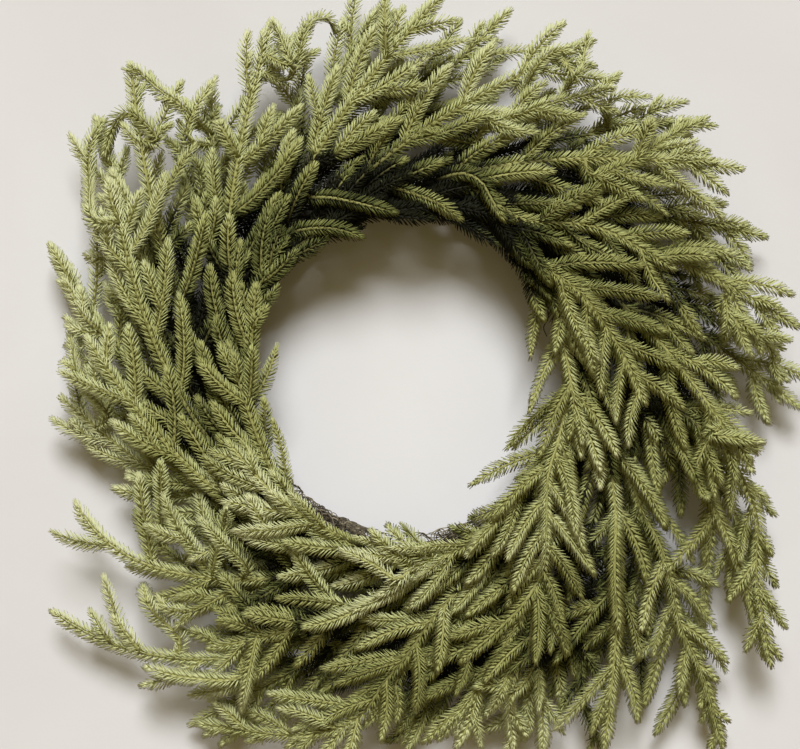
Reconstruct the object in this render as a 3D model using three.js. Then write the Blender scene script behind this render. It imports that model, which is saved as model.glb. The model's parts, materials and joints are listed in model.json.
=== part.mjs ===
// Evergreen wreath lying on its back with its front upward. Millimetres, +Z up.
// Three vine strands are twisted into a ring. Wherever a strand comes to the top, three
// leafy sprays are laid on it and bound down with wire. They sweep clockwise and outward.
import * as THREE from 'three';

// The vine ring.
const RING_RADIUS = 158;
const STRAND_RADIUS = 8;
const LAY_RADIUS = 10.1;
const STRANDS = 3;
const TWISTS = 5;
const STEPS_PER_TWIST = 9;
const STRAND_SIDES = 6;

// The binding wire.
const WIRE_RADIUS = 0.6;
const WIRE_GAP = 0.45;
const WIRE_PITCH = 3;
const WIRE_CORNERS = 8;
const WIRE_RUN_POINTS = 2;

// The sprays.
const STEM_RADIUS = 2.4;
const STEM_TIP_RADIUS = 1.3;
const SHOOT_RADIUS = 1.5;
const SHOOT_TIP_RADIUS = 1.0;
const SHOOT_START = 9;
const SEAT_GAP = 0.35;
const TAIL = 12;
const MAIN_STEPS = 24;
const SHOOT_STEPS = 10;
const SHOOT_COUNT = { outer: 5, middle: 4, inner: 4 };
const SPACING = 11;
const CLOSEST = 7.5;
const FLOOR = 11;

// The needles.
const NEEDLE_LENGTH = 11;
const NEEDLE_ANGLE = 48;
const NEEDLE_RADIUS = 0.9;
const NEEDLE_CLEARANCE = 0.5;
const WHORL_LENGTH = 1.8;
const FIRST_WHORL = 0.42;
const END_WHORL = 10;
const BRANCH_LENGTH = 3.2;

const TIES = STRANDS * TWISTS;
const SIDE_HEIGHT = STRAND_RADIUS * Math.cos(Math.PI / STRAND_SIDES);
const RING_HEIGHT = LAY_RADIUS * Math.cos(Math.PI / STEPS_PER_TWIST) + SIDE_HEIGHT;
const LAY_SLOPE = LAY_RADIUS * TWISTS / RING_RADIUS;
const SEAT_DISTANCE = SIDE_HEIGHT + STEM_RADIUS / 2 + SEAT_GAP;

// Each slot is a seat round the strand at the top: its lean from upright, the turn of the
// stem's three-sided section that lays a flat on the strand, how far the stem follows the
// strand before it bends away, how much it rises, and how its shoots are swept.
const SLOTS = {
  outer: { lean: 60, section: 270, reach: 0.42, rise: 10, sweep: 22 },
  middle: { lean: 0, section: 90, reach: 0.4, rise: 16, sweep: 22 },
  inner: { lean: -60, section: 270, reach: 0.16, rise: 28, sweep: 4 },
};

// Where the outer and the middle spray of each tie end, from tie to tie round the ring, and
// how near to the heart of the wreath its inner shoots come. A fourth number is the spray's
// own reach, for one that hooks round at its end.
const TIPS = [
  { outer: [273, -314, 24], middle: [169, -314, 45], edge: 106 },
  { outer: [92, -316, 26], middle: [28, -305, 55], edge: 135 },
  { outer: [-7, -303, 28], middle: [-101, -314, 45], edge: 145 },
  { outer: [-187, -299, 20], middle: [-306, -202, 30, 0.72], edge: 145 },
  { outer: [-236, -118, 24, 0.8], middle: [-284, -108, 45, 0.82], edge: 140 },
  { outer: [-299, -17, 26], middle: [-272, 34, 65], edge: 125 },
  { outer: [-308, 112, 26], middle: [-250, 165, 70], edge: 121 },
  { outer: [-269, 224, 35], middle: [-237, 267, 55], edge: 137 },
  { outer: [-170, 254, 30], middle: [-117, 305, 55], edge: 144 },
  { outer: [-20, 327, 30], middle: [28, 327, 60], edge: 142 },
  { outer: [86, 318, 32], middle: [155, 288, 60], edge: 142 },
  { outer: [251, 224, 28], middle: [281, 180, 65], edge: 140 },
  { outer: [307, 125, 28], middle: [330, 47, 60], edge: 134 },
  { outer: [337, -22, 28], middle: [290, -75, 70], edge: 112 },
  { outer: [318, -176, 26], middle: [307, -237, 40, 0.58], edge: 105 },
];

const UP = new THREE.Vector3(0, 0, 1);

function radians(degrees) {
  return degrees * Math.PI / 180;
}

function wrapped(angle) {
  return Math.atan2(Math.sin(angle), Math.cos(angle));
}

function clamp(value, low, high) {
  return Math.min(high, Math.max(low, value));
}

// A seeded source of even draws, so that the same wreath comes out each time.
function source(seed) {
  let state = seed >>> 0;
  const draw = (low, high) => {
    state = (Math.imul(state, 1664525) + 1013904223) >>> 0;
    return low + (high - low) * state / 4294967296;
  };
  draw(0, 1);
  draw(0, 1);
  draw(0, 1);
  return draw;
}

function polar(angle, radius, height) {
  return new THREE.Vector3(radius * Math.cos(angle), radius * Math.sin(angle), height);
}

function tieAngle(tie) {
  return -2 * Math.PI * tie / TIES;
}

// Centre of a strand at an angle clockwise round the ring.
function strandCentre(strand, travelled) {
  const twist = TWISTS * travelled - 2 * Math.PI * strand / STRANDS;
  const radius = RING_RADIUS + LAY_RADIUS * Math.sin(twist);
  return polar(-travelled, radius, RING_HEIGHT + LAY_RADIUS * Math.cos(twist));
}

function seat(tie, slot) {
  const lean = radians(SLOTS[slot].lean);
  const radius = RING_RADIUS + SEAT_DISTANCE * Math.sin(lean);
  const height = RING_HEIGHT + LAY_RADIUS + SEAT_DISTANCE * Math.cos(lean);
  return polar(tieAngle(tie), radius, height);
}

// Direction of the strand where it comes to the top at a tie.
function strandWay(tie) {
  const angle = tieAngle(tie);
  const way = new THREE.Vector3(Math.sin(angle), -Math.cos(angle), 0);
  return way.add(polar(angle, LAY_SLOPE, 0)).normalize();
}

// Points of a closed or open tube joined ring by ring, as one body.
class Body {
  constructor() {
    this.points = [];
    this.faces = [];
  }

  ring(points) {
    const first = this.points.length;
    this.points.push(...points);
    return points.map((point, index) => first + index);
  }

  join(before, after) {
    const count = before.length;
    for (let i = 0; i < count; i += 1) {
      const n = (i + 1) % count;
      this.faces.push([before[i], before[n], after[n]]);
      this.faces.push([before[i], after[n], after[i]]);
    }
  }

  geometry() {
    const corners = [];
    for (const face of this.faces) {
      for (const index of face) {
        corners.push(...this.points[index].toArray());
      }
    }
    const geometry = new THREE.BufferGeometry();
    geometry.setAttribute('position', new THREE.Float32BufferAttribute(corners, 3));
    geometry.computeVertexNormals();
    return geometry;
  }
}

function closedTube(rings) {
  const body = new Body();
  const laid = rings.map((ring) => body.ring(ring));
  for (let i = 0; i < laid.length; i += 1) {
    body.join(laid[i], laid[(i + 1) % laid.length]);
  }
  return body.geometry();
}

// One strand: a six-sided section with a flat side down, carried round the ring.
function strandGeometry(strand) {
  const steps = STEPS_PER_TWIST * TWISTS;
  const rings = [];
  for (let i = 0; i < steps; i += 1) {
    const travelled = 2 * Math.PI * i / steps;
    const centre = strandCentre(strand, travelled);
    const ring = [];
    for (let s = 0; s < STRAND_SIDES; s += 1) {
      const around = 2 * Math.PI * s / STRAND_SIDES;
      const offset = polar(-travelled, STRAND_RADIUS * Math.cos(around), STRAND_RADIUS * Math.sin(around));
      ring.push(centre.clone().add(offset));
    }
    rings.push(ring);
  }
  return closedTube(rings);
}

// What the wire goes round at a tie, a little before or after it: strands and stems.
function boundCircles(tie, ahead) {
  const travelled = -tieAngle(tie) + ahead / RING_RADIUS;
  const circles = [];
  for (let strand = 0; strand < STRANDS; strand += 1) {
    const centre = strandCentre(strand, travelled);
    const out = Math.hypot(centre.x, centre.y) - RING_RADIUS;
    circles.push({ out, height: centre.z - RING_HEIGHT, radius: STRAND_RADIUS });
  }
  for (const slot of Object.keys(SLOTS)) {
    const lean = radians(SLOTS[slot].lean);
    const out = SEAT_DISTANCE * Math.sin(lean) + ahead * LAY_SLOPE;
    const height = LAY_RADIUS + SEAT_DISTANCE * Math.cos(lean);
    circles.push({ out, height, radius: STEM_RADIUS });
  }
  return circles;
}

// The wire's line: a turn round everything at a tie, then along the outside of the ring.
function wireLine() {
  const line = [];
  for (let tie = 0; tie < TIES; tie += 1) {
    const lines = [];
    for (let i = 0; i <= WIRE_CORNERS; i += 1) {
      const angle = 2 * Math.PI * i / WIRE_CORNERS;
      const ahead = WIRE_PITCH * (i / WIRE_CORNERS - 0.5);
      let distance = 0;
      for (const circle of boundCircles(tie, ahead)) {
        const reach = circle.out * Math.cos(angle) + circle.height * Math.sin(angle);
        distance = Math.max(distance, reach + circle.radius);
      }
      lines.push({ angle, ahead, distance: distance + WIRE_GAP + WIRE_RADIUS });
    }
    for (let i = 0; i < WIRE_CORNERS; i += 1) {
      const one = lines[i];
      const two = lines[i + 1];
      const half = (two.angle - one.angle) / 2;
      const middle = (one.angle + two.angle) / 2;
      const along = (one.distance + two.distance) / (2 * Math.cos(half));
      const across = (two.distance - one.distance) / (2 * Math.sin(half));
      const out = along * Math.cos(middle) - across * Math.sin(middle);
      const height = along * Math.sin(middle) + across * Math.cos(middle);
      const angle = tieAngle(tie) - (one.ahead + two.ahead) / 2 / RING_RADIUS;
      line.push(polar(angle, RING_RADIUS + out, RING_HEIGHT + height));
    }
    for (let i = 1; i <= WIRE_RUN_POINTS; i += 1) {
      const part = i / (WIRE_RUN_POINTS + 1);
      const out = LAY_RADIUS + STRAND_RADIUS + WIRE_GAP + WIRE_RADIUS;
      line.push(polar(tieAngle(tie + part), RING_RADIUS + out, RING_HEIGHT));
    }
  }
  return line;
}

function wireGeometry(line) {
  const rings = [];
  for (let i = 0; i < line.length; i += 1) {
    const point = line[i];
    const before = line[(i + line.length - 1) % line.length];
    const after = line[(i + 1) % line.length];
    const heart = polar(Math.atan2(point.y, point.x), RING_RADIUS, RING_HEIGHT);
    const into = point.clone().sub(before).normalize();
    const from = after.clone().sub(point).normalize();
    const way = into.clone().add(from).normalize();
    const stretch = 1 / Math.max(0.5, way.dot(from));
    const out = point.clone().sub(heart);
    out.addScaledVector(way, -out.dot(way)).normalize();
    const side = new THREE.Vector3().crossVectors(out, way);
    const ring = [];
    for (let s = 0; s < 3; s += 1) {
      const around = 2 * Math.PI * s / 3;
      const corner = point.clone().addScaledVector(out, WIRE_RADIUS * Math.cos(around) * stretch);
      ring.push(corner.addScaledVector(side, -WIRE_RADIUS * Math.sin(around)));
    }
    rings.push(ring);
  }
  return closedTube(rings);
}

function bend(plan, part) {
  const rest = 1 - part;
  const point = plan.foot.clone().multiplyScalar(rest * rest);
  point.addScaledVector(plan.knee, 2 * rest * part);
  return point.addScaledVector(plan.tip, part * part);
}

function bendWay(plan, part) {
  const way = plan.knee.clone().sub(plan.foot).multiplyScalar(1 - part);
  return way.addScaledVector(plan.tip.clone().sub(plan.knee), part).normalize();
}

function sprayPlan(tie, slot, number) {
  const draw = source(1000 + 37 * tie + 7 * number);
  const kind = SLOTS[slot];
  const foot = seat(tie, slot);
  const given = TIPS[tie][slot];
  const { edge } = TIPS[tie];
  const turn = tieAngle(tie) + radians(-66 + draw(-5, 5));
  const drawn = polar(turn, 156 + draw(-8, 8), 56 + draw(-6, 6));
  const tip = given ? new THREE.Vector3(given[0], given[1], given[2]) : drawn;
  const reach = given ? given[3] || kind.reach : kind.reach + Math.max(0, edge - 120) * 0.008;
  const knee = foot.clone().addScaledVector(strandWay(tie), foot.distanceTo(tip) * reach);
  knee.z = foot.z + (tip.z - foot.z) * 0.5 + kind.rise;
  const hooked = reach > 0.5;
  return { tie, slot, kind, edge, hooked, draw, foot, knee, tip };
}

// A side shoot leaves the stem at an angle and is swept round toward the run of the wreath.
function sideShoot(plan, part, side) {
  const draw = plan.draw;
  const start = bend(plan, part);
  const way = bendWay(plan, part);
  const inward = side < 0;
  let spread = (inward ? 44 : 36) + draw(-6, 6);
  let length = (inward ? 96 : 84) * (1 - 0.36 * part) * (1 + draw(-0.12, 0.12));
  if (plan.slot === 'inner' && inward) {
    spread = 27 + (150 - plan.edge) * 0.5 + draw(-4, 4);
    length *= 0.5 + (150 - plan.edge) * 0.009;
  }
  let lean = plan.kind.sweep;
  if (plan.hooked && inward) {
    spread += 14;
    lean = -25;
  }
  if (plan.hooked && !inward) {
    length *= 0.75;
  }
  const lift = draw(-0.1, 0.25);
  let heading = Math.atan2(way.y, way.x) + side * radians(spread);
  let slope = way.z;
  const path = [start];
  for (let step = 0; step < SHOOT_STEPS; step += 1) {
    const last = path[path.length - 1];
    const sweep = Math.atan2(last.y, last.x) - Math.PI / 2 + radians(lean);
    const turn = wrapped(sweep - heading) * 0.12;
    heading += clamp(turn, radians(-2.7), radians(2.7));
    slope = slope * 0.91 + lift * (1 - 2 * step / SHOOT_STEPS) * 0.21;
    const next = new THREE.Vector3(Math.cos(heading), Math.sin(heading), slope).normalize();
    path.push(next.multiplyScalar(length / SHOOT_STEPS).add(last));
  }
  return path;
}

// Every stem and side shoot as a line of points. The first line of a spray is its stem.
function allLines() {
  const lines = [];
  const names = Object.keys(SLOTS);
  for (let tie = 0; tie < TIES; tie += 1) {
    for (let number = 0; number < names.length; number += 1) {
      const slot = names[number];
      const plan = sprayPlan(tie, slot, number);
      const stem = lines.length;
      const path = [];
      for (let step = 0; step <= MAIN_STEPS; step += 1) {
        path.push(bend(plan, step / MAIN_STEPS));
      }
      lines.push({ path, plan, parent: -1, part: 0, side: 0 });
      const count = SHOOT_COUNT[slot];
      const first = tie % 2 === 1 ? 1 : -1;
      for (let i = 0; i < count; i += 1) {
        const part = 0.2 + 0.6 * i / (count - 1) + plan.draw(-0.02, 0.02);
        const side = i % 2 === 0 ? first : -first;
        lines.push({ path: sideShoot(plan, part, side), plan, parent: stem, part, side });
      }
    }
  }
  return lines;
}

// Two lines that grow from one another, or side by side from one place, may be close there.
function atJunction(lines, a, b) {
  const one = lines[a.line];
  const two = lines[b.line];
  if (one.parent === b.line && a.place <= 2) {
    return true;
  }
  if (two.parent === a.line && b.place <= 2) {
    return true;
  }
  const sisters = one.parent >= 0 && one.parent === two.parent;
  return sisters && Math.abs(one.part - two.part) < 0.12 && Math.min(a.place, b.place) <= 2;
}

// How many ties one line is rooted ahead of another, the short way round.
function tiesAhead(one, two) {
  const ahead = (one.plan.tie - two.plan.tie + TIES) % TIES;
  return ahead > TIES / 2 ? ahead - TIES : ahead;
}

// Bend all lines up or down, little by little, until they pass clear of each other, of the
// ring and of the surface. They lap like shingles: each tie's lines pass above those of the
// ties ahead. Stems stay put where they are bound.
function bendClear(lines) {
  const points = [];
  lines.forEach((line, index) => {
    line.first = points.length;
    line.path.forEach((point, place) => {
      const part = place / (line.path.length - 1);
      const free = line.parent < 0 ? clamp((part - 0.04) / 0.2, 0, 1) : 1;
      points.push({ point, line: index, place, free, rest: point.z });
    });
  });
  for (let strand = 0; strand < STRANDS; strand += 1) {
    for (let i = 0; i < 4 * TIES; i += 1) {
      const point = strandCentre(strand, 2 * Math.PI * i / (4 * TIES));
      points.push({ point, line: -1 - strand, place: 0, free: 0, rest: point.z });
    }
  }
  const near = [];
  const order = new Map();
  for (let i = 0; i < points.length; i += 1) {
    for (let j = i + 1; j < points.length; j += 1) {
      const a = points[i];
      const b = points[j];
      const flat = (a.point.x - b.point.x) ** 2 + (a.point.y - b.point.y) ** 2;
      const apart = a.line !== b.line && (a.line >= 0 || b.line >= 0);
      if (flat < SPACING * SPACING && apart) {
        const ring = a.line < 0 || b.line < 0;
        const loose = a.free > 0 || b.free > 0;
        if (loose && (ring || !atJunction(lines, a, b))) {
          const key = a.line * 1000 + b.line;
          near.push({ i, j, flat, key });
          const lead = ring ? -1 : tiesAhead(lines[a.line], lines[b.line]);
          const drop = lead === 0 ? a.point.z - b.point.z : -1000 * lead;
          order.set(key, (order.get(key) || 0) + drop);
        }
      }
    }
  }
  for (let round = 0; round < 260; round += 1) {
    const spacing = round < 110 ? SPACING : CLOSEST;
    const push = new Float64Array(points.length);
    const count = new Float64Array(points.length);
    for (const pair of near) {
      if (pair.flat < spacing * spacing) {
        const side = order.get(pair.key) >= 0 ? 1 : -1;
        const gap = side * (points[pair.i].point.z - points[pair.j].point.z);
        const lack = Math.sqrt(spacing * spacing - pair.flat) - gap;
        if (lack > 0) {
          const move = side * lack;
          const one = points[pair.i].free;
          const two = points[pair.j].free;
          push[pair.i] += move * one / (one + two);
          push[pair.j] -= move * two / (one + two);
          count[pair.i] += 1;
          count[pair.j] += 1;
        }
      }
    }
    for (const line of lines) {
      const last = line.path.length - 1;
      const move = line.path.map((point, place) => {
        const index = line.first + place;
        return 0.9 * push[index] / Math.max(1, count[index]);
      });
      const off = line.path.map((point, place) => {
        const inside = place > 0 && place < last;
        const eased = inside ? (move[place - 1] + 2 * move[place] + move[place + 1]) / 4 : move[place];
        return point.z - points[line.first + place].rest + eased;
      });
      line.path.forEach((point, place) => {
        const inside = place > 0 && place < last;
        const eased = inside ? 0.8 * off[place] + 0.1 * (off[place - 1] + off[place + 1]) : off[place];
        point.z = Math.max(FLOOR, points[line.first + place].rest + eased);
      });
    }
    for (const line of lines) {
      if (line.parent >= 0) {
        const stem = lines[line.parent].path;
        const place = line.part * (stem.length - 1);
        const whole = Math.floor(place);
        const height = stem[whole].z + (stem[whole + 1].z - stem[whole].z) * (place - whole);
        const miss = height - line.path[0].z;
        const give = 0.4 * points[lines[line.parent].first + whole].free;
        stem[whole].z -= give * miss;
        stem[whole + 1].z -= give * miss;
        line.path.forEach((point, step) => {
          point.z += (1 - give) * miss * (1 - step / SHOOT_STEPS);
        });
      }
    }
  }
}

// A line measured along its length, with its direction eased over a short way.
class Track {
  constructor(path) {
    this.path = path;
    this.marks = [0];
    for (let i = 1; i < path.length; i += 1) {
      this.marks.push(this.marks[i - 1] + path[i].distanceTo(path[i - 1]));
    }
    this.length = this.marks[path.length - 1];
  }

  mark(place) {
    const whole = Math.floor(place);
    return this.marks[whole] + (this.marks[whole + 1] - this.marks[whole]) * (place - whole);
  }

  at(distance) {
    let i = 1;
    while (i < this.path.length - 1 && this.marks[i] < distance) {
      i += 1;
    }
    const part = (distance - this.marks[i - 1]) / (this.marks[i] - this.marks[i - 1]);
    return this.path[i - 1].clone().lerp(this.path[i], part);
  }

  way(distance) {
    const low = clamp(distance - 5, 0, this.length - 1);
    const high = clamp(distance + 5, 1, this.length);
    return this.at(high).sub(this.at(low)).normalize();
  }
}

function threeCorners(centre, left, over, radius, turn) {
  const corners = [];
  for (let i = 0; i < 3; i += 1) {
    const around = turn + 2 * Math.PI * i / 3;
    const corner = centre.clone().addScaledVector(left, radius * Math.cos(around));
    corners.push(corner.addScaledVector(over, radius * Math.sin(around)));
  }
  return corners;
}

// One spray, grown as a single skin. Faces that may carry a needle are kept aside until it
// is known which needles are clear.
class Spray {
  constructor(number, name) {
    this.number = number;
    this.name = name;
    this.body = new Body();
    this.cores = [];
    this.needles = [];
  }

  core(from, to, radius, line, root = -1) {
    this.cores.push({ from, to, radius, line, root, spray: this.number });
  }

  // A short band between two rings. Each of its faces is offered a needle, or left plain, or
  // given back as the root of a side shoot.
  band(before, after, way, line, draw, use) {
    let root = null;
    for (let i = 0; i < 3; i += 1) {
      const n = (i + 1) % 3;
      const faces = [[before[i], before[n], after[n]], [before[i], after[n], after[i]]];
      const middle = this.points(before).add(this.points(after)).multiplyScalar(0.5);
      const edge = this.body.points[before[i]].clone().add(this.body.points[before[n]]);
      const out = edge.multiplyScalar(0.5).sub(middle);
      out.addScaledVector(way, -out.dot(way)).normalize();
      faces.forEach((face, half) => {
        const kind = use(i, half);
        if (kind === 'root') {
          root = face;
        } else if (kind === 'needle') {
          const fan = radians(half === 0 ? 30 : -30) + draw(-0.1, 0.1);
          const lean = radians(NEEDLE_ANGLE + draw(-5, 5));
          const length = NEEDLE_LENGTH + draw(-1, 1);
          const point = out.clone().applyAxisAngle(way, fan).multiplyScalar(Math.sin(lean));
          point.addScaledVector(way, Math.cos(lean)).multiplyScalar(length);
          const foot = this.points(face);
          this.needles.push({ face, from: foot, to: point.add(foot), line, spray: this.number });
        } else {
          this.body.faces.push(face);
        }
      });
    }
    return root;
  }

  points(indices) {
    const sum = new THREE.Vector3();
    indices.forEach((index) => sum.add(this.body.points[index]));
    return sum.divideScalar(indices.length);
  }

  tip(ring, point) {
    const [top] = this.body.ring([point]);
    for (let i = 0; i < 3; i += 1) {
      this.body.faces.push([ring[i], ring[(i + 1) % 3], top]);
    }
  }
}

function whorlOnly() {
  return 'needle';
}

// Which of the three sides of a stem looks most nearly along a direction.
function sideFacing(ring, section, direction) {
  let best = 0;
  let most = -Infinity;
  for (let i = 0; i < 3; i += 1) {
    const around = section + Math.PI / 3 + 2 * Math.PI * i / 3;
    const out = ring.left.clone().multiplyScalar(Math.cos(around));
    const match = out.addScaledVector(ring.over, Math.sin(around)).dot(direction);
    if (match > most) {
      most = match;
      best = i;
    }
  }
  return best;
}

function growStem(spray, line, shoots, index) {
  const { plan } = line;
  const track = new Track(line.path);
  const section = radians(plan.kind.section);
  const ringAt = (distance) => {
    const way = track.way(distance);
    const left = new THREE.Vector3().crossVectors(UP, way).normalize();
    const over = new THREE.Vector3().crossVectors(way, left);
    const part = clamp(distance / track.length, 0, 1);
    const radius = STEM_RADIUS + (STEM_TIP_RADIUS - STEM_RADIUS) * part;
    const centre = track.at(Math.max(0, distance));
    const corners = threeCorners(centre, left, over, radius, section);
    return { centre, way, left, over, radius, corners };
  };
  const places = shoots.map((shoot) => {
    return { at: track.mark(shoot.line.part * MAIN_STEPS), length: BRANCH_LENGTH, shoot };
  });
  places.sort((a, b) => a.at - b.at);
  const outermost = places[places.length - 1].at;
  const end = track.length - END_WHORL;
  places.push({ at: (outermost + end) / 2, length: WHORL_LENGTH });
  places.push({ at: end, length: WHORL_LENGTH });

  const way = strandWay(plan.tie);
  const left = new THREE.Vector3().crossVectors(UP, way).normalize();
  const back = plan.foot.clone().addScaledVector(way, -TAIL);
  const tail = spray.body.ring(threeCorners(back, left, UP, STEM_RADIUS, section));
  spray.body.faces.push([tail[2], tail[1], tail[0]]);
  const bound = plan.foot.clone().addScaledVector(way, 3);
  const start = spray.body.ring(threeCorners(bound, left, UP, STEM_RADIUS, section));
  spray.body.join(tail, start);
  spray.core(back, bound, STEM_RADIUS, index);
  let last = start;
  let lastCentre = bound;
  for (const place of places) {
    const one = ringAt(place.at - place.length / 2);
    const two = ringAt(place.at + place.length / 2);
    const before = spray.body.ring(one.corners);
    const after = spray.body.ring(two.corners);
    spray.body.join(last, before);
    spray.core(lastCentre, one.centre, one.radius, index);
    spray.core(one.centre, two.centre, two.radius, index);
    if (place.shoot) {
      const shoot = new Track(place.shoot.line.path);
      const used = sideFacing(one, section, shoot.at(shoot.length * FIRST_WHORL).sub(one.centre));
      const choose = (face, half) => {
        if (face === used) {
          return half === 1 ? 'root' : 'plain';
        }
        return half === 0 ? 'needle' : 'plain';
      };
      const root = spray.band(before, after, one.way, index, plan.draw, choose);
      growShoot(spray, place.shoot.line, place.shoot.index, root, plan.draw);
    } else {
      spray.band(before, after, one.way, index, plan.draw, whorlOnly);
    }
    last = after;
    lastCentre = two.centre;
  }
  spray.tip(last, line.path[line.path.length - 1].clone());
  spray.core(lastCentre, line.path[line.path.length - 1], 0.5, index);
}

function growShoot(spray, line, index, root, draw) {
  const track = new Track(line.path);
  const foot = spray.points(root);
  let way = track.way(SHOOT_START);
  let left = spray.body.points[root[0]].clone().sub(foot);
  left.addScaledVector(way, -left.dot(way)).normalize();
  let last = root;
  const first = track.at(track.length * FIRST_WHORL);
  let lastCentre = foot.clone().lerp(first, SHOOT_START / foot.distanceTo(first));
  spray.core(foot, lastCentre, SHOOT_RADIUS, index, line.parent);
  for (const at of [track.length * FIRST_WHORL, track.length - END_WHORL]) {
    for (const distance of [at - WHORL_LENGTH / 2, at + WHORL_LENGTH / 2]) {
      way = track.way(distance);
      left = left.clone().addScaledVector(way, -left.dot(way)).normalize();
      const over = new THREE.Vector3().crossVectors(way, left);
      const radius = SHOOT_RADIUS + (SHOOT_TIP_RADIUS - SHOOT_RADIUS) * distance / track.length;
      const centre = track.at(distance);
      const ring = spray.body.ring(threeCorners(centre, left, over, radius, 0));
      if (distance > at) {
        spray.band(last, ring, way, index, draw, whorlOnly);
      } else {
        spray.body.join(last, ring);
      }
      spray.core(lastCentre, centre, radius, index);
      last = ring;
      lastCentre = centre;
    }
  }
  const end = line.path[line.path.length - 1];
  spray.tip(last, end.clone());
  spray.core(lastCentre, end, 0.5, index);
}

// Shortest distance between two straight pieces.
function apart(a, b, c, d) {
  const one = b.clone().sub(a);
  const two = d.clone().sub(c);
  const link = a.clone().sub(c);
  const oneOne = one.dot(one);
  const twoTwo = two.dot(two);
  const oneTwo = one.dot(two);
  const oneLink = one.dot(link);
  const twoLink = two.dot(link);
  const square = oneOne * twoTwo - oneTwo * oneTwo;
  let s = square > 1e-9 ? clamp((oneTwo * twoLink - oneLink * twoTwo) / square, 0, 1) : 0;
  let t = (oneTwo * s + twoLink) / twoTwo;
  if (t < 0 || t > 1) {
    t = clamp(t, 0, 1);
    s = clamp((oneTwo * t - oneLink) / oneOne, 0, 1);
  }
  return a.clone().addScaledVector(one, s).distanceTo(c.clone().addScaledVector(two, t));
}

function measured(piece) {
  const middle = piece.from.clone().add(piece.to).multiplyScalar(0.5);
  return { ...piece, middle, half: piece.from.distanceTo(piece.to) / 2 };
}

function tooClose(a, b, gap) {
  const reach = a.half + b.half + gap;
  if (a.middle.distanceToSquared(b.middle) > reach * reach) {
    return false;
  }
  return apart(a.from, a.to, b.from, b.to) < gap;
}

// Keep the needles that are clear of every other stem, shoot, strand and wire, and of each
// other. A face whose needle is left out stays a plain face of the stem.
function settleNeedles(sprays, strandCores, wireCores) {
  const cores = [...strandCores, ...wireCores].map(measured);
  sprays.forEach((spray) => cores.push(...spray.cores.map(measured)));
  const kept = [];
  let offered = 0;
  for (const spray of sprays) {
    for (const raw of spray.needles) {
      const needle = measured(raw);
      offered += 1;
      const blocked = cores.some((core) => {
        const gap = core.radius + NEEDLE_RADIUS + NEEDLE_CLEARANCE;
        const beside = core.root === needle.line && core.from.distanceTo(needle.from) < 4;
        return core.line !== needle.line && !beside && tooClose(needle, core, gap);
      });
      const crossed = blocked || needle.to.z < 1.5 || kept.some((other) => {
        const sameWhorl = other.line === needle.line && other.from.distanceTo(needle.from) < 5;
        const gap = 2 * NEEDLE_RADIUS + NEEDLE_CLEARANCE;
        return !sameWhorl && tooClose(needle, other, gap);
      });
      if (crossed) {
        spray.body.faces.push(raw.face);
      } else {
        kept.push(needle);
        const [top] = spray.body.ring([raw.to]);
        for (let i = 0; i < 3; i += 1) {
          spray.body.faces.push([raw.face[i], raw.face[(i + 1) % 3], top]);
        }
      }
    }
  }
  return { kept: kept.length, offered };
}

function linePieces(points, radius, closed) {
  const pieces = [];
  const count = closed ? points.length : points.length - 1;
  for (let i = 0; i < count; i += 1) {
    const to = points[(i + 1) % points.length];
    pieces.push({ from: points[i], to, radius, line: -1, spray: -1 });
  }
  return pieces;
}

function part(name, geometry, colour, roughness) {
  const material = new THREE.MeshStandardMaterial({ color: colour, roughness, metalness: 0 });
  material.name = name;
  const mesh = new THREE.Mesh(geometry, material);
  mesh.name = name;
  return mesh;
}

const wreath = new THREE.Group();
wreath.name = 'wreath';

const lines = allLines();
bendClear(lines);

const strandCores = [];
for (let strand = 0; strand < STRANDS; strand += 1) {
  const steps = STEPS_PER_TWIST * TWISTS;
  const centres = [];
  for (let i = 0; i < steps; i += 1) {
    centres.push(strandCentre(strand, 2 * Math.PI * i / steps));
  }
  strandCores.push(...linePieces(centres, STRAND_RADIUS, true));
  wreath.add(part(`vine_${strand + 1}`, strandGeometry(strand), 0x4a3a2c, 0.9));
}

const wire = wireLine();
wreath.add(part('binding_wire', wireGeometry(wire), 0x3b4238, 0.6));

const sprays = [];
lines.forEach((line, index) => {
  if (line.parent < 0) {
    const number = sprays.length;
    const tie = String(line.plan.tie + 1).padStart(2, '0');
    const spray = new Spray(number, `spray_${tie}_${line.plan.slot}`);
    const shoots = [];
    lines.forEach((other, otherIndex) => {
      if (other.parent === index) {
        shoots.push({ line: other, index: otherIndex });
      }
    });
    growStem(spray, line, shoots, index);
    sprays.push(spray);
  }
});

settleNeedles(sprays, strandCores, linePieces(wire, WIRE_RADIUS, true));

const greens = { outer: 0x7d8a4c, middle: 0x8a9655, inner: 0x6f7c44 };
for (const spray of sprays) {
  const slot = spray.name.split('_')[2];
  wreath.add(part(spray.name, spray.body.geometry(), greens[slot], 0.75));
}

// Put the origin at the bottom centre of the whole.
const whole = new THREE.Box3();
wreath.children.forEach((child) => {
  child.geometry.computeBoundingBox();
  whole.union(child.geometry.boundingBox);
});
const middle = whole.getCenter(new THREE.Vector3());
wreath.children.forEach((child) => {
  child.geometry.translate(-middle.x, -middle.y, -whole.min.z);
});

export default wreath;
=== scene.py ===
"""Looks of an evergreen wreath that lies on its back on a pale surface, seen from above."""
import json
import math

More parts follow.
